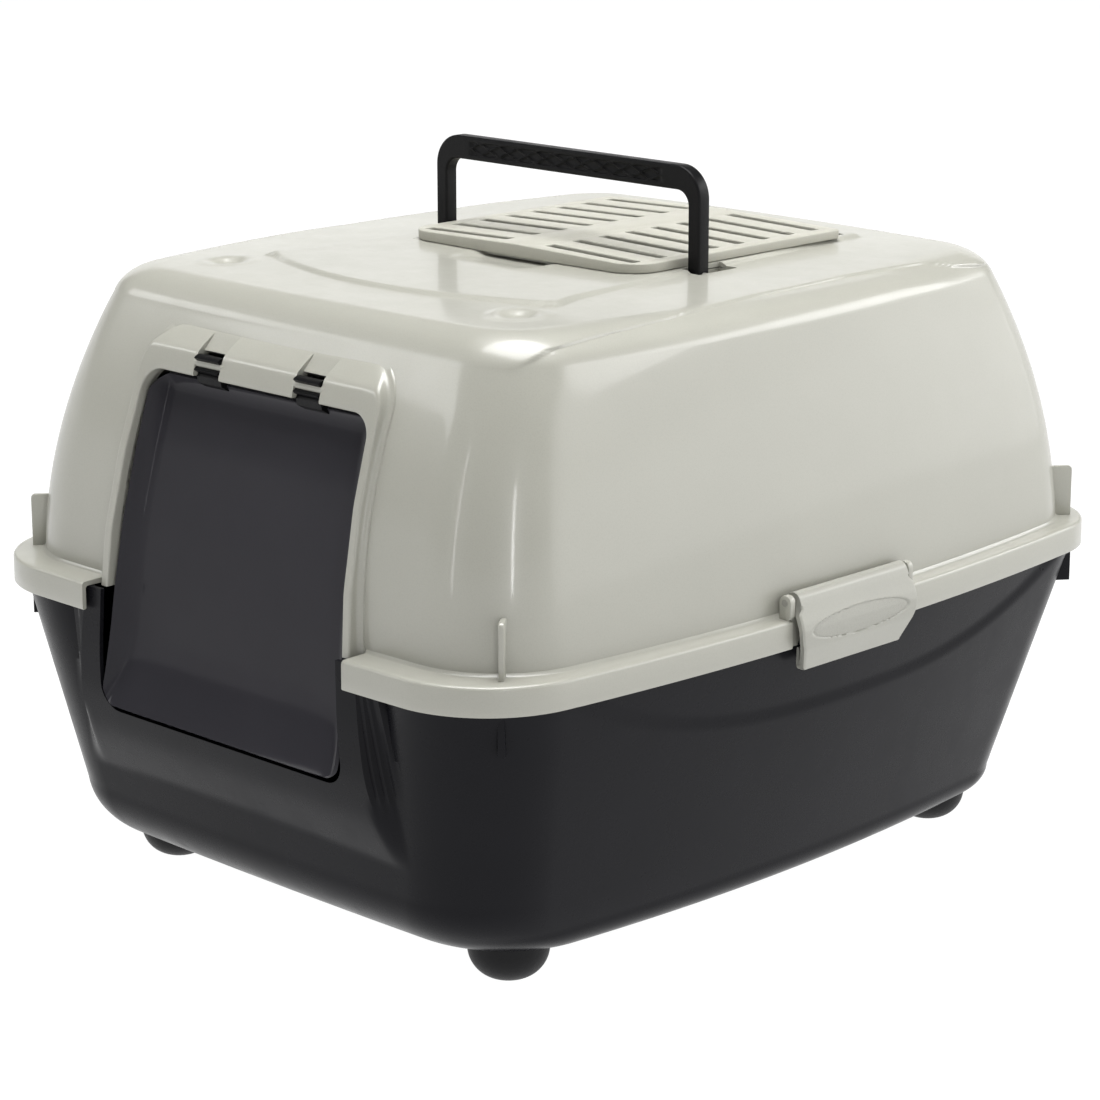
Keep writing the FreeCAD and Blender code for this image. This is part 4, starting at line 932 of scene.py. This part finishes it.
def make_latches():
    outside = np.array([(227.0, 208.0), (229.4, 207.4), (231.5, 205.6), (233.0, 202.0), (234.8, 197.0),
                        (237.0, 191.5), (238.0, 187.5), (238.2, 183.0), (237.2, 177.0), (234.6, 170.5),
                        (232.8, 166.0), (231.8, 163.4), (230.9, 162.6), (226.0, 162.6), (225.0, 163.2),
                        (224.8, 166.0), (225.0, 174.8), (225.9, 175.3), (226.8, 174.8), (227.0, 167.0),
                        (228.2, 165.6), (229.6, 167.4), (231.6, 172.0), (234.2, 178.5), (235.2, 184.0),
                        (234.6, 188.5), (232.2, 194.5), (230.0, 198.6), (227.0, 198.2), (223.8, 199.2),
                        (222.2, 202.0), (222.6, 205.2), (224.6, 207.4)])
    closed = np.vstack([outside, outside[:1]])
    gap = np.concatenate([[0.0], np.cumsum(np.hypot(*np.diff(closed, axis=0).T))])
    fine = np.arange(0.0, gap[-1], 0.55)
    px, pz = np.interp(fine, gap, closed[:, 0]), np.interp(fine, gap, closed[:, 1])
    soft = np.array((1.0, 2.0, 3.0, 2.0, 1.0)) / 9.0
    px = np.convolve(np.concatenate([px[-2:], px, px[:2]]), soft, "valid")
    pz = np.convolve(np.concatenate([pz[-2:], pz, pz[:2]]), soft, "valid")
    y_unit = np.linspace(-1.0, 1.0, 111)

    def half_at(x, z):
        body = np.interp(z, (162.0, 164.0, 181.0, 184.0, 196.5, 199.0, 210.0),
                         (40.0, 42.0, 49.4, 50.2, 50.0, 47.0, 46.6))
        hook = (x < 228.5) & (z < 176.0)
        bead = (x < 229.5) & (z > 196.0)
        return np.where(hook, 40.5, np.where(bead, 47.0, body))

    half = half_at(px, pz)
    rows, masks = [], []
    for x, z, h in zip(px, pz, half):
        y = y_unit * h
        r = np.sqrt((y / OVAL_HALF_Y) ** 2 + ((z - OVAL_Z) / OVAL_HALF_Z) ** 2)
        face_x = np.interp(z, (170.0, 178.5, 184.0, 188.5, 196.0), (232.0, 235.6, 236.6, 236.3, 233.4))
        on_face = (x > face_x) & (x > 233.0) & (z < 196.0) & (z > 170.0)
        groove = OVAL_DEPTH * smooth((1.0 - r) / 0.035) + OVAL_GROOVE * np.exp(-((r - 0.985) / 0.025) ** 2)
        sunk = np.where(on_face, groove, 0.0)
        round_end = 0.8 * np.clip((np.abs(y) - (h - 1.2)) / 1.2, 0.0, 1.0) ** 2
        rows.append(np.column_stack([x - sunk - round_end * (x > face_x), y, np.full(len(y), z)]))
        masks.append((r < 0.965) & on_face)
    part = loft(rows, closed_path=False, closed_section=True, caps=True)
    mask = np.array(masks)
    mask &= np.roll(mask, -1, axis=0)
    quad_in = mask[:, :-1] & mask[:, 1:]
    for sign, side in SIDES:
        latch = new_object("latch_plate_" + side, *flipped(part, sign))
        finish_piece(latch, "side_latch_" + side, latch_mat, sharp=42.0,
                     replaces=("side_latch_" + side,))
        latch.data.materials.append(inset_mat)
        flags = np.zeros(len(latch.data.polygons), int)
        flags[: quad_in.size] = quad_in.reshape(-1)
        latch.data.polygons.foreach_set("material_index", flags.tolist())


# ---- carried-over CAD nodes ----------------------------------------------------------------------
def dress(name, material):
    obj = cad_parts[name]
    obj.data.materials.clear()
    obj.data.materials.append(material)


def dress_cad_nodes():
    for _, side in SIDES:
        dress("foot_front_" + side, rubber_mat)
        dress("foot_rear_" + side, rubber_mat)
        dress("latch_pin_" + side, pin_mat)
        dress("handle_pin_" + side, pin_mat)
    dress("filter_holder", holder_mat)


# ---- studio --------------------------------------------------------------------------------------
# name, place, height it aims at over the floor's middle, width, height, watts
LAMPS = (("top_box", (0.0, 0.0, 2.6), 0.30, 1.8, 1.8, 98.0),
         ("right_rear_box", (2.1, 2.0, 1.0), 0.30, 4.2, 1.9, 29.0),
         ("shoulder_box", (1.5, 1.8, 1.45), 0.33, 2.4, 0.7, 26.0),
         ("rear_card", (-2.2, 2.2, 1.2), 0.36, 3.4, 0.9, 8.6),
         ("left_front_box", (-1.75, -1.5, 1.5), 0.33, 1.6, 0.32, 8.0),
         ("right_strip", (2.19, -1.42, 0.85), 0.25, 0.09, 0.9, 6.5),
         ("left_strip", (0.0, -2.6, 1.0), 0.25, 0.05, 1.3, 3.0))
WORLD_PALE, WORLD_DIM = 0.95, 0.03
FLOOR_HALF, FLOOR_THICK, FLOOR_DROP = 14.0, 0.02, 0.0005


def area_light(name, place, aim_z, width, height, power):
    data = bpy.data.lights.new(name, "AREA")
    data.shape, data.size, data.size_y, data.energy = "RECTANGLE", width, height, power
    lamp = bpy.data.objects.new(name, data)
    lamp.location = place
    lamp.rotation_mode = "QUATERNION"
    lamp.rotation_quaternion = (Vector((0.0, 0.0, aim_z)) - Vector(place)).to_track_quat("-Z", "Y")
    scene.collection.objects.link(lamp)


def make_studio():
    world = bpy.data.worlds.new("studio")
    world.use_nodes = True
    # pale round the horizon, dim overhead, so that the boxes do the lighting
    tree = world.node_tree
    direction = tree.nodes.new("ShaderNodeTexCoord").outputs["Generated"]
    axes = node(tree, "ShaderNodeSeparateXYZ", Vector=direction)
    tree.links.new(ramp(tree, axes.outputs["Z"], 0.10, 0.17, WORLD_PALE, WORLD_DIM),
                   tree.nodes["Background"].inputs["Strength"])
    tree.nodes["Background"].inputs["Color"].default_value = (1.0, 1.0, 1.0, 1.0)
    scene.world = world
    floor, faces = block(-FLOOR_HALF, FLOOR_HALF, -FLOOR_HALF, FLOOR_HALF, -FLOOR_THICK, -FLOOR_DROP)
    floor_obj = new_object("floor", np.array(floor) / MM, faces)
    mat = bpy.data.materials.new("floor_paper")
    mat.use_nodes = True
    bsdf = mat.node_tree.nodes["Principled BSDF"]
    bsdf.inputs["Base Color"].default_value = (0.10, 0.10, 0.10, 1.0)
    bsdf.inputs["Specular IOR Level"].default_value = 0.0
    bsdf.inputs["Roughness"].default_value = 0.9
    bsdf.inputs["Emission Color"].default_value = (1.0, 1.0, 1.0, 1.0)
    bsdf.inputs["Emission Strength"].default_value = 1.0
    floor_obj.data.materials.append(mat)
    for lamp in LAMPS:
        area_light(*lamp)
    scene.view_settings.view_transform = "Standard"


CAMERA_AZIMUTH, CAMERA_ELEVATION = 44.343, 14.919
CAMERA_DISTANCE, CAMERA_AIM_Z, CAMERA_LENS, CAMERA_SHIFT = 1.99928, 0.18063, 107.98, -0.00586


def make_camera():
    azimuth, elevation = math.radians(CAMERA_AZIMUTH), math.radians(CAMERA_ELEVATION)
    target, distance = Vector((0.0, 0.0, CAMERA_AIM_Z)), CAMERA_DISTANCE
    back = Vector((math.sin(azimuth) * math.cos(elevation), -math.cos(azimuth) * math.cos(elevation),
                   math.sin(elevation)))
    data = bpy.data.cameras.new("camera")
    data.sensor_width, data.lens = 36.0, CAMERA_LENS
    data.shift_x = CAMERA_SHIFT
    data.clip_start, data.clip_end = 0.05, 60.0
    camera = bpy.data.objects.new("camera", data)
    camera.location = target + back * distance
    camera.rotation_mode = "QUATERNION"
    camera.rotation_quaternion = (-back).to_track_quat("-Z", "Y")
    scene.collection.objects.link(camera)
    scene.camera = camera


make_hood()
make_visor()
make_rim()
make_small_hood_parts()
make_tray()
make_flap()
make_cover()
make_filter_pad()
make_handle()
make_latches()
dress_cad_nodes()
make_studio()
make_camera()
